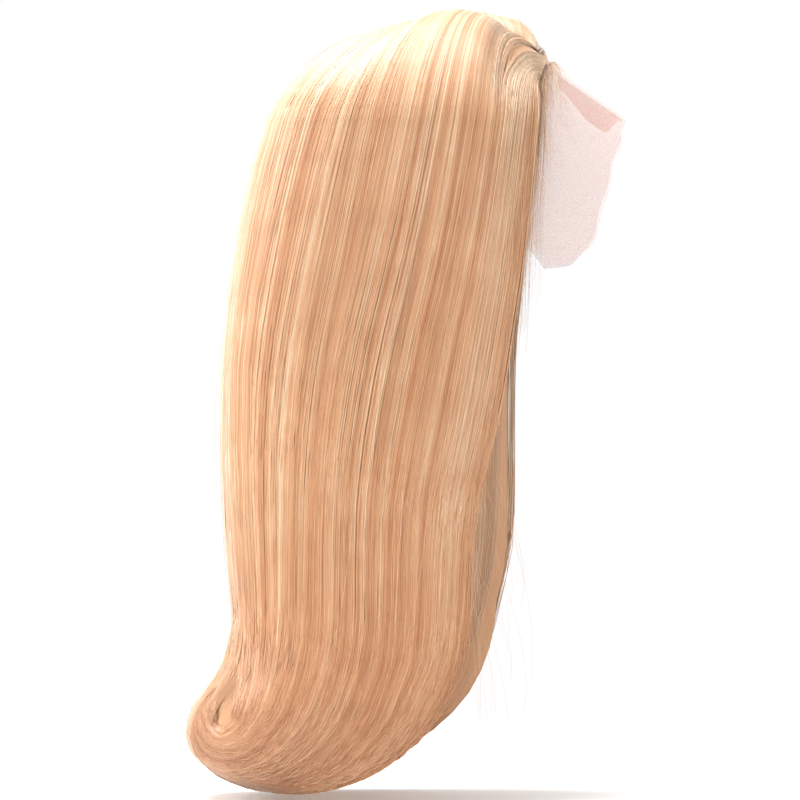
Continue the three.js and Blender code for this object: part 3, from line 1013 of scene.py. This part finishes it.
def add_node(
    tree: bpy.types.NodeTree,
    kind: str,
    values: dict | None = None,
    links: dict | None = None,
    stops: tuple[tuple[float, str], ...] = (),
    **settings: object,
) -> bpy.types.Node:
    """Add a node with its settings, socket values and links.

    Args:
        tree: Node tree to add to.
        kind: Node type.
        values: Input socket to constant.
        links: Input socket to the output socket that feeds it.
        stops: Places and sRGB hex colours, for a node that has a colour ramp.
        settings: Properties of the node.

    Returns:
        The node.
    """
    node = tree.nodes.new(kind)
    for name, value in settings.items():
        setattr(node, name, value)
    for socket, value in (values or {}).items():
        node.inputs[socket].default_value = value
    for socket, source in (links or {}).items():
        tree.links.new(source, node.inputs[socket])
    for place, _ in stops[2:]:
        node.color_ramp.elements.new(place)
    for element, (place, colour) in zip(node.color_ramp.elements if stops else (), stops):
        element.position = place
        element.color = linear(colour)
    return node


def new_tree(name: str) -> tuple[bpy.types.Material, bpy.types.NodeTree]:
    """Make a material with an empty node tree.

    Args:
        name: Name of the material.

    Returns:
        The material and its tree.
    """
    material = bpy.data.materials.new(name)
    material.use_nodes = True
    material.node_tree.nodes.clear()
    return material, material.node_tree


@dataclass(frozen=True)
class HairFinish:
    """Bleached human hair, combed: a soft gloss along it, and each strand its own shade of gold."""

    name: str = "combed_blonde_hair"
    stops: tuple[tuple[float, str], ...] = (
        (0.0, "#925b33"),
        (0.35, "#a8774f"),
        (0.7, "#b58b67"),
        (1.0, "#cbb597"),
    )
    roughness: float = 0.4
    ior: float = 1.55
    sheen: float = 0.65
    sheen_roughness: float = 0.4
    patch_mm: float = 30.0
    patch_shift: float = 0.15
    streak_mm: float = 0.0
    broad_streak: float = 6.0
    streak_length_mm: float = 130.0
    detail: float = 2.0

    def material(self) -> bpy.types.Material:
        """Make the finish: shades by strand, or streaks along the UV map where it has a pitch.

        Returns:
            The material.
        """
        material, tree = new_tree(self.name)
        shade = self.streaks(tree) if self.streak_mm else self.strand_tone(tree)
        colour = add_node(tree, "ShaderNodeValToRGB", links={"Fac": shade}, stops=self.stops)
        shader = add_node(
            tree,
            "ShaderNodeBsdfPrincipled",
            values={
                "Roughness": self.roughness,
                "IOR": self.ior,
                "Sheen Weight": self.sheen,
                "Sheen Roughness": self.sheen_roughness,
            },
            links={"Base Color": colour.outputs["Color"]},
        )
        add_node(tree, "ShaderNodeOutputMaterial", links={"Surface": shader.outputs["BSDF"]})
        return material

    def strand_tone(self, tree: bpy.types.NodeTree) -> bpy.types.NodeSocket:
        """Each strand's own tone, shifted a little by slow patches along it.

        Args:
            tree: Node tree to add to.

        Returns:
            The socket with the shade.
        """
        tone = add_node(tree, "ShaderNodeAttribute", attribute_name="tone")
        place = add_node(tree, "ShaderNodeTexCoord")
        patch = add_node(
            tree,
            "ShaderNodeTexNoise",
            values={"Scale": 1.0 / (self.patch_mm * MM), "Detail": self.detail},
            links={"Vector": place.outputs["Object"]},
        )
        shift = add_node(
            tree,
            "ShaderNodeMapRange",
            values={"To Min": -self.patch_shift, "To Max": self.patch_shift},
            links={"Value": patch.outputs["Fac"]},
        )
        total = add_node(
            tree,
            "ShaderNodeMath",
            operation="ADD",
            links={0: tone.outputs["Fac"], 1: shift.outputs["Result"]},
        )
        return total.outputs["Value"]

    def streaks(self, tree: bpy.types.NodeTree) -> bpy.types.NodeSocket:
        """Fine streaks along the hair over broad soft ones.

        Args:
            tree: Node tree to add to.

        Returns:
            The socket with the shade.
        """
        weave = add_node(tree, "ShaderNodeUVMap", uv_map="Weave")
        layers = []
        for pitch in (self.streak_mm, self.broad_streak * self.streak_mm):
            scale = (1.0 / (pitch * MM), 1.0 / (self.streak_length_mm * MM), 1.0)
            stretch = add_node(
                tree, "ShaderNodeMapping", values={"Scale": scale}, links={"Vector": weave.outputs["UV"]}
            )
            layer = add_node(
                tree,
                "ShaderNodeTexNoise",
                values={"Scale": 1.0, "Detail": self.detail},
                links={"Vector": stretch.outputs["Vector"]},
            )
            layers.append(layer.outputs["Fac"])
        both = add_node(tree, "ShaderNodeMath", operation="ADD", links={0: layers[0], 1: layers[1]})
        half = add_node(
            tree, "ShaderNodeMath", operation="MULTIPLY", values={1: 0.5}, links={0: both.outputs["Value"]}
        )
        return half.outputs["Value"]


@dataclass(frozen=True)
class LaceFinish:
    """Sheer nylon lace: an open net of fine pale pink threads.

    Real net has holes under 1 mm, too fine to show, so it is drawn coarser.
    """

    name: str = "sheer_pink_lace"
    colour: str = "#c4a8a1"
    pitch_mm: float = 1.6
    thread_share: float = 0.24
    veil: float = 0.26
    thread: float = 0.46
    thread_angles: tuple[float, ...] = (30.0, 90.0, 150.0)
    roughness: float = 0.8
    sheen: float = 0.3

    def material(self) -> bpy.types.Material:
        """Make the finish, whose alpha is the net on the piece's UV map.

        Returns:
            The material.
        """
        material, tree = new_tree(self.name)
        weave = add_node(tree, "ShaderNodeUVMap", uv_map="Weave")
        net = None
        for angle in self.thread_angles:
            turn = {"Rotation": (0.0, 0.0, math.radians(angle)), "Scale": (1.0 / (self.pitch_mm * MM),) * 3}
            turned = add_node(tree, "ShaderNodeMapping", values=turn, links={"Vector": weave.outputs["UV"]})
            axis = add_node(tree, "ShaderNodeSeparateXYZ", links={"Vector": turned.outputs["Vector"]})
            fold = add_node(
                tree, "ShaderNodeMath", operation="PINGPONG", values={1: 0.5}, links={0: axis.outputs["X"]}
            )
            near = add_node(
                tree,
                "ShaderNodeMath",
                operation="LESS_THAN",
                values={1: 0.5 * self.thread_share},
                links={0: fold.outputs["Value"]},
            )
            thread = near.outputs["Value"]
            if net is not None:
                joined = add_node(tree, "ShaderNodeMath", operation="MAXIMUM", links={0: net, 1: thread})
                thread = joined.outputs["Value"]
            net = thread
        cover = add_node(
            tree,
            "ShaderNodeMapRange",
            values={"To Min": self.veil, "To Max": self.thread},
            links={"Value": net},
        )
        shader = add_node(
            tree,
            "ShaderNodeBsdfPrincipled",
            values={
                "Base Color": linear(self.colour),
                "Roughness": self.roughness,
                "Sheen Weight": self.sheen,
            },
            links={"Alpha": cover.outputs["Result"]},
        )
        add_node(tree, "ShaderNodeOutputMaterial", links={"Surface": shader.outputs["BSDF"]})
        return material


# Sub-assemblies


@dataclass
class LaceWork:
    """The lace: the cap that the hair is tied to, the untrimmed lace before it, and its fold."""

    head: HeadForm = HeadForm()
    wall: float = 1.0
    cap_rows: int = 40
    cap_columns: int = 120
    crown_gap: float = 0.004
    front_rows: int = 31
    front_columns: int = 121
    front_gap: float = 0.008
    front_azimuth: float = 72.0
    free_edge: Table = Table(
        ("share", "x", "y", "z"),
        (
            (0, 0, -146, -69),
            (0.25, 25, -143, -82),
            (0.5, 46, -133, -118),
            (0.7, 59, -122, -158),
            (0.85, 66, -108, -176),
            (1, 71, -88, -180),
        ),
    )
    side_bulge: float = 3.0
    ripple: float = 1.1
    ripple_turns: float = 31.0
    ripple_slant: float = 2.0
    fold_rows: int = 9
    fold_columns: int = 33
    fold_from: float = 0.12
    fold_to: float = 0.95
    fold_start_drop: float = 9.0
    fold_drop: float = 19.0
    fold_full: float = 0.5
    fold_tip: float = 0.1
    fold_tip_from: float = 0.7
    fold_x: float = 2.0
    fold_wave: float = 0.6
    fold_wave_turns: float = 4.0
    fold_gap: float = 2.8

    def front_points(self, across: Array, out: Array) -> Array:
        """Points of the untrimmed lace.

        Args:
            across: Place from the right ear (-1) to the left (1).
            out: Share from the hairline (0) to the free edge (1), the same shape.

        Returns:
            Points with a last axis of x, y and z.
        """
        azimuth = across * self.front_azimuth
        start = self.head.point(np.radians(azimuth), self.head.edge_fall(azimuth), 0.5 * self.wall)
        share = np.abs(across)
        free = [self.free_edge.read(name, share) for name in ("x", "y", "z")]
        edge = np.stack((np.sign(across) * free[0], free[1], free[2]), axis=-1)
        swell = self.side_bulge * share * np.sin(math.pi * out)
        lift = np.stack((np.sin(np.radians(azimuth)) * swell, 0.0 * swell, swell), axis=-1)
        return mix(start, edge, out[..., None]) + lift

    def build(self) -> None:
        # One bare layer of net, so that what is behind it shows through
        sheer = LaceFinish().material()
        # Two layers, whose threads cross: a denser and darker strip
        dense = LaceFinish("folded_pink_lace", "#b38c80", thread_share=0.4, veil=0.6, thread=0.85).material()
        # Net with hair tied into it, a little closer than bare net
        self.cap(LaceFinish("cap_lace", "#cdb3a4", veil=0.3, thread=0.6).material())
        self.front(sheer)
        self.fold(dense)

    def cap(self, material: bpy.types.Material) -> None:
        """Build the domed cap, one sheet from crown to edge.

        Args:
            material: Its finish.
        """
        azimuth = np.linspace(-180.0, 180.0, self.cap_columns + 1)
        rows = np.linspace(self.crown_gap, 1.0, self.cap_rows)
        grid_azimuth, grid_rows = np.meshgrid(azimuth, rows)
        fall = self.head.edge_fall(grid_azimuth) * grid_rows
        points = self.head.point(np.radians(grid_azimuth), fall, 0.5 * self.wall)
        piece = link_mesh("lace_cap_net", grid_sheet("lace_cap_net", points, wraps=True), material)
        finish_piece(piece, ("lace_cap",))

    def front(self, material: bpy.types.Material) -> None:
        """Build the untrimmed lace before the hairline, with a slight ripple along its free edge.

        Args:
            material: Its finish.
        """
        columns = np.linspace(-1.0, 1.0, self.front_columns)
        across, out = np.meshgrid(columns, np.linspace(self.front_gap, 1.0, self.front_rows))
        points = self.front_points(across, out)
        phase = across * self.ripple_turns + self.ripple_slant * out
        points[..., 1] += self.ripple * np.sin(phase) * out**2
        piece = link_mesh("lace_front_net", grid_sheet("lace_front_net", points), material)
        finish_piece(piece, ("lace_front",))

    def fold(self, material: bpy.types.Material) -> None:
        """Build the doubled fold under the middle line of the untrimmed lace.

        Args:
            material: Its finish.
        """
        along = np.linspace(0.0, 1.0, self.fold_columns)
        top = self.front_points(0.0 * along, mix(self.fold_from, self.fold_to, along))
        widest = mix(self.fold_start_drop, self.fold_drop, smooth_step(along, 0.0, self.fold_full))
        drop = widest * mix(1.0, self.fold_tip, smooth_step(along, self.fold_tip_from, 1.0))
        rows = np.linspace(0.0, 1.0, self.fold_rows)[:, None]
        points = np.repeat(top[None], self.fold_rows, axis=0)
        points[..., 0] = self.fold_x + self.fold_wave * np.sin(rows * self.fold_wave_turns)
        points[..., 2] -= self.fold_gap + rows * drop
        piece = link_mesh("lace_fold_strip", grid_sheet("lace_fold_strip", points), material)
        finish_piece(piece, ("lace_fold",))


@dataclass
class HairMass:
    """The body of one fall of hair: a thick closed form whose outer face is drawn into fine locks."""

    flow: Flow
    name: str
    node: str
    u_from: float
    u_to: float
    columns: int = 101
    rows: int = 72
    inner_every: int = 5
    v_to: float = 1.0
    under: float = 1.7
    end_under: float = 0.0
    end_span: Pair = (0.76, 0.84)
    end_beside: Pair = (0.1, 0.22)
    lap_under: float = 0.0
    lap_span: Pair = (0.28, 0.36)
    root_blend: float = 0.28
    tip_from: float = 0.86
    tip_depth: float = 0.25
    outer_clearance: float = 2.8

    def outline(self) -> tuple[Array, Array]:
        """Work out both faces as grids of points, rows from root to end.

        Returns:
            The outer and the inner face.
        """
        form = self.flow.form
        columns = np.linspace(self.u_from, self.u_to, self.columns)
        u, v = np.meshgrid(columns, np.linspace(0.0, self.v_to, self.rows))
        face = self.flow.path(u, v)
        normal = self.flow.normal(u, v)
        beside = np.abs(u)
        at_ends = smooth_step(v, *self.end_span) * smooth_step(beside, *self.end_beside)
        under = self.under + self.end_under * at_ends + self.lap_under * smooth_step(beside, *self.lap_span)
        depth = form.depth(u, face[..., 2]) * mix(form.root_depth, 1.0, smooth_step(v, 0.0, self.root_blend))
        thin = mix(1.0, self.tip_depth, smooth_step(v, self.tip_from * self.v_to, self.v_to))
        outer = face + normal * (self.flow.relief(u, v) - under)[..., None]
        inner = face - normal * (depth * thin + under)[..., None]
        return form.head.clear(outer, self.outer_clearance), form.head.clear(inner, form.inner_clearance)

    def build(self, material: bpy.types.Material) -> None:
        """Build and dress the mass.

        Args:
            material: Its finish.
        """
        outer, inner = self.outline()
        around = np.concatenate((outer, inner[:, :: -self.inner_every], outer[:, :1]), axis=1)
        mesh = grid_sheet(self.name, around, wraps=True, lanes=True)
        bm = bmesh.new()
        bm.from_mesh(mesh)
        rims = [edge for edge in bm.edges if edge.is_boundary]
        bmesh.ops.holes_fill(bm, edges=rims, sides=0)
        bmesh.ops.recalc_face_normals(bm, faces=bm.faces)
        bm.to_mesh(mesh)
        bm.free()
        piece = link_mesh(self.name, mesh, material)
        finish_piece(piece, (self.node,))


@dataclass
class Wisps:
    """Loose fine hairs, each on a curve of its own, with ranges from which sizes are drawn at random."""

    form: HairForm
    count: int
    seed: int
    side: Side = Side.RIGHT
    stations: int = 10
    root_offset: float = 1.2
    tip_radius: float = 0.35
    radius: Pair = (0.12, 0.2)
    tone: Pair = (0.6, 1.0)

    def knots(self, rng: np.random.Generator) -> Knots:
        """Control points of the hairs' curves."""
        raise NotImplementedError

    def draw(self, rng: np.random.Generator, span: Pair) -> Array:
        """A number for each hair, spread evenly over a range."""
        return rng.uniform(*span, self.count)

    def strands(self) -> Strands:
        """Lay out the hairs.

        Returns:
            The strands.
        """
        rng = np.random.default_rng(SEED + self.seed)
        knots = self.knots(rng)
        radius = self.draw(rng, self.radius)
        tones = np.repeat(self.draw(rng, self.tone)[:, None], self.stations, axis=1)
        t = np.linspace(0.0, 1.0, self.stations)[None, :, None]
        paths = curve(tuple(knot[:, None] for knot in knots), t)
        heart = np.array((0.0, self.form.middle_y, 0.0))
        normals = unit((paths - heart) * np.array((1.0, 1.0, 0.0)))
        radii = radius[:, None] * np.linspace(1.0, self.tip_radius, self.stations)[None]
        return Strands(paths, normals, radii, tones, np.ones(self.count))


@dataclass
class TempleFall(Wisps):
    """The thin fall before a temple, from the hairline to the front edge of the hair."""

    radius: Pair = (0.12, 0.24)
    tone: Pair = (0.3, 0.9)
    azimuth: Pair = (16.0, 62.0)
    inset: Pair = (0.93, 1.0)
    length: Pair = (60.0, 190.0)
    behind_edge: float = 2.0
    edge_spread: float = 7.0
    under: Pair = (0.0, 12.0)
    rise: Pair = (5.0, 12.0)
    lean_out: float = 2.0
    lean_back: float = 3.0
    slack: Pair = (-9.0, 2.0)
    hanging: float = 0.55

    def knots(self, rng: np.random.Generator) -> Knots:
        """Control points: up from the hairline, over, and down to the front edge.

        Args:
            rng: Random numbers.

        Returns:
            The four points of each curve.
        """
        head = self.form.head
        sign = self.side.value
        azimuth = self.draw(rng, self.azimuth)
        fall = head.edge_fall(azimuth) * self.draw(rng, self.inset)
        root = head.point(np.radians(azimuth) * sign, fall, self.root_offset)
        length = self.draw(rng, self.length)
        end_z = root[:, 2] - length
        u = np.full(self.count, float(sign))
        end_y = self.form.front(u, end_z) + rng.normal(self.behind_edge, self.edge_spread, self.count)
        end_x = sign * (self.form.half_width(u, end_y, end_z) - self.draw(rng, self.under))
        end = np.stack((end_x, end_y, end_z), axis=-1)
        away = root - np.array((0.0, head.centre_y, -head.half_height))
        rise = self.draw(rng, self.rise)[:, None]
        first = root + unit(away) * rise + np.array((sign * self.lean_out, self.lean_back, 0.0))
        second = end + np.stack((0.0 * length, self.draw(rng, self.slack), self.hanging * length), axis=-1)
        return root, first, second, end


@dataclass
class Fringe(Wisps):
    """Strands that spring from the hairline over the forehead and sweep up and over to the left."""

    radius: Pair = (0.12, 0.22)
    tone: Pair = (0.2, 0.85)
    azimuth: Pair = (-24.0, 58.0)
    inset: Pair = (0.92, 1.0)
    part_rise: float = 34.0
    temple_rise: float = 9.0
    rise_azimuth: Pair = (-5.0, 50.0)
    rise_share: Pair = (0.6, 1.1)
    lean_left: Pair = (2.0, 8.0)
    lean_back: Pair = (4.0, 9.0)
    end_z: Pair = (-200.0, -95.0)
    end_u: Pair = (0.8, 1.0)
    end_out: float = 0.6
    up_share: Pair = (0.6, 0.85)
    up_more: float = 12.0
    inward: float = -3.0
    slack: Pair = (-6.0, 2.0)

    def knots(self, rng: np.random.Generator) -> Knots:
        """Control points: up from the hairline, over to the left, and down onto the left side.

        Args:
            rng: Random numbers.

        Returns:
            The four points of each curve.
        """
        head = self.form.head
        azimuth = self.draw(rng, self.azimuth)
        fall = head.edge_fall(azimuth) * self.draw(rng, self.inset)
        root = head.point(np.radians(azimuth), fall, self.root_offset)
        rise = mix(self.part_rise, self.temple_rise, smooth_step(azimuth, *self.rise_azimuth))
        rise = rise * self.draw(rng, self.rise_share)
        lean_left = self.draw(rng, self.lean_left)
        lean_back = self.draw(rng, self.lean_back)
        first = root + np.stack((lean_left, lean_back, rise), axis=-1)
        end_z = self.draw(rng, self.end_z)
        end = self.form.plan(self.draw(rng, self.end_u), end_z) + np.array((self.end_out, 0.0, 0.0))
        up = self.draw(rng, self.up_share) * (root[:, 2] - end_z) + self.up_more
        second = end + np.stack((self.inward + 0.0 * up, self.draw(rng, self.slack), up), axis=-1)
        return root, first, second, end


@dataclass
class BabyHairs(Wisps):
    """Short baby hairs that lie on the lace along the hairline."""

    azimuth: Pair = (4.0, 66.0)
    root_offset: float = 1.0
    length: Pair = (14.0, 52.0)
    outward: Pair = (0.1, 0.6)
    forward: Pair = (-0.65, 0.15)
    downward: Pair = (-1.0, -0.45)
    bend: float = 0.3
    start_share: float = 0.35
    end_share: float = 0.4

    def knots(self, rng: np.random.Generator) -> Knots:
        """Control points: out from the hairline, bent, and down over the lace.

        Args:
            rng: Random numbers.

        Returns:
            The four points of each curve.
        """
        head = self.form.head
        azimuth = self.draw(rng, self.azimuth)
        root = head.point(np.radians(azimuth) * self.side.value, head.edge_fall(azimuth), self.root_offset)
        length = self.draw(rng, self.length)[:, None]
        spans = (self.outward, self.forward, self.downward)
        way = np.stack([self.draw(rng, span) for span in spans], axis=-1)
        way[:, 0] *= self.side.value
        bend = rng.normal(0.0, self.bend, (self.count, 3))
        away = unit(root - np.array((0.0, 0.0, -head.half_height)))
        first = root + length * self.start_share * unit(away + bend)
        end = root + length * way
        second = end - length * self.end_share * unit(way + bend)
        return root, first, second, end


@dataclass
class Strays(Wisps):
    """Long stray hairs that drift forward from the right front edge, low down."""

    radius: Pair = (0.09, 0.13)
    tone: Pair = (0.4, 0.8)
    start_z: Pair = (-430.0, -300.0)
    drop: Pair = (80.0, 190.0)
    ahead: Pair = (4.0, 48.0)
    outward: Pair = (-2.0, 5.0)
    steps: tuple[Pair, ...] = ((0.25, 0.33), (0.9, 0.66), (0.7, 1.0))
    floor_gap: float = 4.0

    def knots(self, rng: np.random.Generator) -> Knots:
        """Control points: forward and down in three steps.

        Args:
            rng: Random numbers.

        Returns:
            The four points of each curve.
        """
        start = self.form.plan(np.full(self.count, -1.0), self.draw(rng, self.start_z))
        drop = self.draw(rng, self.drop)
        ahead = self.draw(rng, self.ahead)
        first, second, end = (
            start + np.stack((-self.draw(rng, self.outward), -ahead * reach, -drop * share), axis=-1)
            for reach, share in self.steps
        )
        end[:, 2] = np.maximum(end[:, 2], self.form.bottom_z + self.floor_gap)
        return start, first, second, end


@dataclass
class Flyaways(Wisps):
    """A few stray hairs that stand off the falls."""

    flow: Flow | None = None
    radius: Pair = (0.09, 0.14)
    across: Pair = (-1.0, 1.0)
    start: Pair = (0.05, 0.55)
    reach: Pair = (0.08, 0.22)
    lift: Pair = (1.0, 6.0)
    steps: tuple[Pair, ...] = ((0.0, 0.0), (0.33, 1.3), (0.67, 1.5), (1.0, 1.0))

    def knots(self, rng: np.random.Generator) -> Knots:
        """Control points: along the fall, and lifted off it.

        Args:
            rng: Random numbers.

        Returns:
            The four points of each curve.
        """
        u = self.draw(rng, self.across)
        v = self.draw(rng, self.start)
        reach = self.draw(rng, self.reach)
        off = self.flow.normal(u, v) * self.draw(rng, self.lift)[:, None]
        return tuple(self.flow.path(u, v + reach * share) + off * height for share, height in self.steps)


@dataclass
class HairWork:
    """All of the hair: three masses, the strands combed over and under them, and the loose wisps."""

    form: HairForm = HairForm()
    swept: tuple[float, ...] = (
        *(0.0, 0.015, 0.04, 0.07, 0.105, 0.14, 0.175, 0.21, 0.245, 0.28, 0.3),
        *(0.325, 0.366, 0.41, 0.446, 0.481, 0.525, 0.574, 0.62),
        *(0.65, 0.68, 0.71, 0.745, 0.785, 0.83, 0.88, 0.935, 1.0),
    )
    fallen: tuple[float, ...] = (
        *(0.0, 0.015, 0.04, 0.07, 0.1, 0.13, 0.16, 0.19, 0.22, 0.25, 0.28),
        *(0.33, 0.4, 0.48, 0.56, 0.65, 0.74, 0.82, 0.87, 0.91, 0.94, 0.97, 1.0),
    )
    sprung: tuple[float, ...] = (0.0, 0.015, 0.035, 0.06, 0.09, 0.12, 0.155, 0.19, 0.23, 0.28, 0.34, 0.42)
    inside: tuple[float, ...] = (0.2, 0.28, 0.38, 0.5, 0.62, 0.74, 0.82, 0.9, 0.95, 1.0)

    def build(self) -> None:
        """Build and dress the hair."""
        corner = self.form.corner_u
        sweep = SweepFlow(self.form)
        fall = FallFlow(self.form)
        # Streaks about a strand wide, coarser than hairs, so that the hair between reads as more strands
        shaded = HairFinish("shaded_blonde_hair", streak_mm=0.9, roughness=0.5).material()
        HairMass(sweep, "hair_right_mass", "hair_right", -1.0, -corner, v_to=0.84).build(shaded)
        back = HairMass(fall, "hair_back_mass", "hair_back", -0.5, 0.5, end_under=1.0, lap_under=4.0)
        back.build(shaded)
        HairMass(sweep, "hair_left_mass", "hair_left", corner, 1.0, v_to=0.84).build(shaded)
        # A shade for each strand, so that the eye follows single strands along the fall
        combed = HairFinish().material()
        closed = replace(self.form, crown_radius=0.8, part_half_gap=0.5)
        sweep = SweepFlow(closed)
        for name, strands in {**self.falls(sweep, FallFlow(closed)), **self.loose(sweep)}.items():
            piece = link_mesh(name, strands.mesh(name), combed)
            finish_piece(piece)

    def falls(self, sweep: Flow, fall: Flow) -> dict[str, Strands]:
        """The combed strands by piece name.

        Args:
            sweep: Field of the side strands.
            fall: Field of the back strands.

        Returns:
            Strands for each piece.
        """
        side = Comb(sweep, 1210, -1.0, -0.14, self.swept, reach=(0.78, 1.0))
        front = replace(side, strands=400, u_to=-0.78, depth=(-0.2, 0.4), radius=(0.1, 0.22), sway=0.01)
        rim = replace(side, strands=110, depth=(-8.0, 0.3), radius=(0.15, 0.28), sway=0.02)
        root = replace(side, strands=230, u_to=-0.84, stations=self.sprung, reach=(0.3, 1.0), sway=0.012)
        root = replace(root, depth=(0.2, 1.8), radius=(0.09, 0.17), tone=(0.1, 0.9), roundness=0.5)
        back = Comb(fall, 620, -0.2, 0.2, self.fallen, reach=(0.93, 1.0))
        corner = replace(back, strands=150, depth=(0.2, 0.9), radius=(0.22, 0.36), reach=(0.88, 0.915))
        inner = Comb(InnerFlow(self.form), 420, -1.0, 1.0, self.inside, tone=(0.3, 0.8))
        far = replace(inner, strands=70, u_from=0.72, depth=(3.3, 3.5), radius=(0.12, 0.2), roundness=0.1)
        combs = {
            "hair_right_strands": replace(side, depth=(-0.3, 0.1), seed=1),
            "hair_right_top_strands": replace(side, depth=(0.0, 0.3), seed=2),
            "hair_front_strands": replace(front, fray=0.006, seed=14),
            # Painted shade: the right rim strands are drawn dark so that the near front edge reads darker
            "hair_right_rim": replace(rim, u_from=-1.004, u_to=-0.985, tone=(0.0, 0.6), fray=0.004, seed=16),
            "hair_left_rim": replace(rim, u_from=0.99, u_to=1.015, tone=(0.6, 1.1), fray=0.01, seed=21),
            "hair_root_strands": replace(root, fray=0.02, seed=15),
            "hair_left_strands": replace(side, strands=1090, u_from=0.14, u_to=1.0, seed=3),
            "hair_back_strands": replace(back, seed=4),
            "hair_right_corner": replace(corner, u_from=-0.28, u_to=-0.15, seed=17),
            "hair_left_corner": replace(corner, u_from=0.15, u_to=0.28, seed=18),
            "hair_inner_strands": replace(inner, seed=6),
            # Painted highlight: the far strands are drawn pale, for the light from behind on the far side's
            # inner face
            "hair_far_strands": replace(far, tone=(0.8, 1.2), seed=20),
        }
        return {name: comb.comb() for name, comb in combs.items()}

    def loose(self, sweep: Flow) -> dict[str, Strands]:
        """The loose wisps by piece name.

        Args:
            sweep: Field of the side strands.

        Returns:
            Strands for each piece.
        """
        wisps = {
            "hair_left_fringe": Fringe(self.form, 320, 19),
            "hair_right_temple": TempleFall(self.form, 440, 7, Side.RIGHT),
            "hair_left_temple": TempleFall(self.form, 220, 8, Side.LEFT),
            "hair_right_baby": BabyHairs(self.form, 160, 9, Side.RIGHT),
            "hair_left_baby": BabyHairs(self.form, 160, 10, Side.LEFT),
            "hair_flyaways": Flyaways(self.form, 110, 11, flow=sweep),
            "hair_strays": Strays(self.form, 18, 12),
        }
        return {name: wisp.strands() for name, wisp in wisps.items()}


@dataclass(frozen=True)
class SoftLight:
    """A square soft light: where it stands and points and its side in metres, and its watts."""

    name: str
    place: tuple[float, float, float]
    aim: tuple[float, float, float]
    power: float
    size: float = 1.2

    def build(self) -> None:
        """Hang the light and turn it to its aim."""
        lamp = bpy.data.lights.new(self.name, "AREA")
        lamp.size = self.size
        lamp.energy = self.power
        obj = bpy.data.objects.new(self.name, lamp)
        obj.location = self.place
        way = Vector(self.aim) - Vector(self.place)
        obj.rotation_euler = way.to_track_quat("-Z", "Y").to_euler()
        bpy.context.scene.collection.objects.link(obj)


@dataclass
class Studio:
    """A pale floor, soft lights and the camera at the photograph's angle, in metres."""

    floor_z: float = -0.576
    floor_radius: float = 1.2
    floor_segments: int = 64
    distance: float = 5.0
    frame_width: float = 0.596
    sensor_mm: float = 36.0
    centre: Pair = (0.0222, -0.279)
    lights: tuple[SoftLight, ...] = (
        SoftLight("top", (-0.3, 0.5, 1.7), (0.0, 0.0, -0.1), 84.0),
        SoftLight("back", (-0.8, 2.2, 0.9), (0.0, 0.1, -0.15), 46.0),
        SoftLight("front", (-1.6, -1.8, 0.2), (0.0, 0.0, -0.25), 15.0),
    )

    def build(self) -> None:
        """Set out the floor, the lights and the camera."""
        self.floor()
        for light in self.lights:
            light.build()
        self.world()
        self.camera()

    def floor(self) -> None:
        """A wide pale floor."""
        bm = bmesh.new()
        bmesh.ops.create_circle(bm, cap_ends=True, radius=self.floor_radius, segments=self.floor_segments)
        bmesh.ops.translate(bm, verts=bm.verts, vec=(0.0, 0.0, self.floor_z))
        mesh = bpy.data.meshes.new("floor")
        bm.to_mesh(mesh)
        bm.free()
        # Matt painted board, which takes a soft shadow and shows no gloss
        material, tree = new_tree("pale_floor")
        shader = add_node(
            tree, "ShaderNodeBsdfPrincipled", values={"Base Color": linear("#f4f3f1"), "Roughness": 0.9}
        )
        add_node(tree, "ShaderNodeOutputMaterial", links={"Surface": shader.outputs["BSDF"]})
        link_mesh("floor", mesh, material)

    def world(self) -> None:
        """A pale even surround."""
        world = bpy.data.worlds.new("surround")
        world.use_nodes = True
        shade = world.node_tree.nodes["Background"]
        shade.inputs["Color"].default_value = linear("#ffffff")
        shade.inputs["Strength"].default_value = 1.0
        bpy.context.scene.world = world
        bpy.context.scene.view_settings.view_transform = "Standard"

    def camera(self) -> None:
        """The camera on the wearer's right, level with the middle of the hair."""
        lens = bpy.data.cameras.new("camera")
        lens.sensor_width = self.sensor_mm
        lens.lens = self.sensor_mm * self.distance / self.frame_width
        obj = bpy.data.objects.new("camera", lens)
        obj.location = (-self.distance, *self.centre)
        obj.rotation_euler = (math.radians(90.0), 0.0, math.radians(-90.0))
        bpy.context.scene.collection.objects.link(obj)
        bpy.context.scene.camera = obj


def main() -> None:
    """Load the frame, build the sub-assemblies in order and note the sizes."""
    logging.basicConfig(level=logging.INFO, format="%(name)s: %(message)s")
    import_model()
    HairWork().build()
    LaceWork().build()
    Studio().build()


if __name__ == "__main__":
    main()
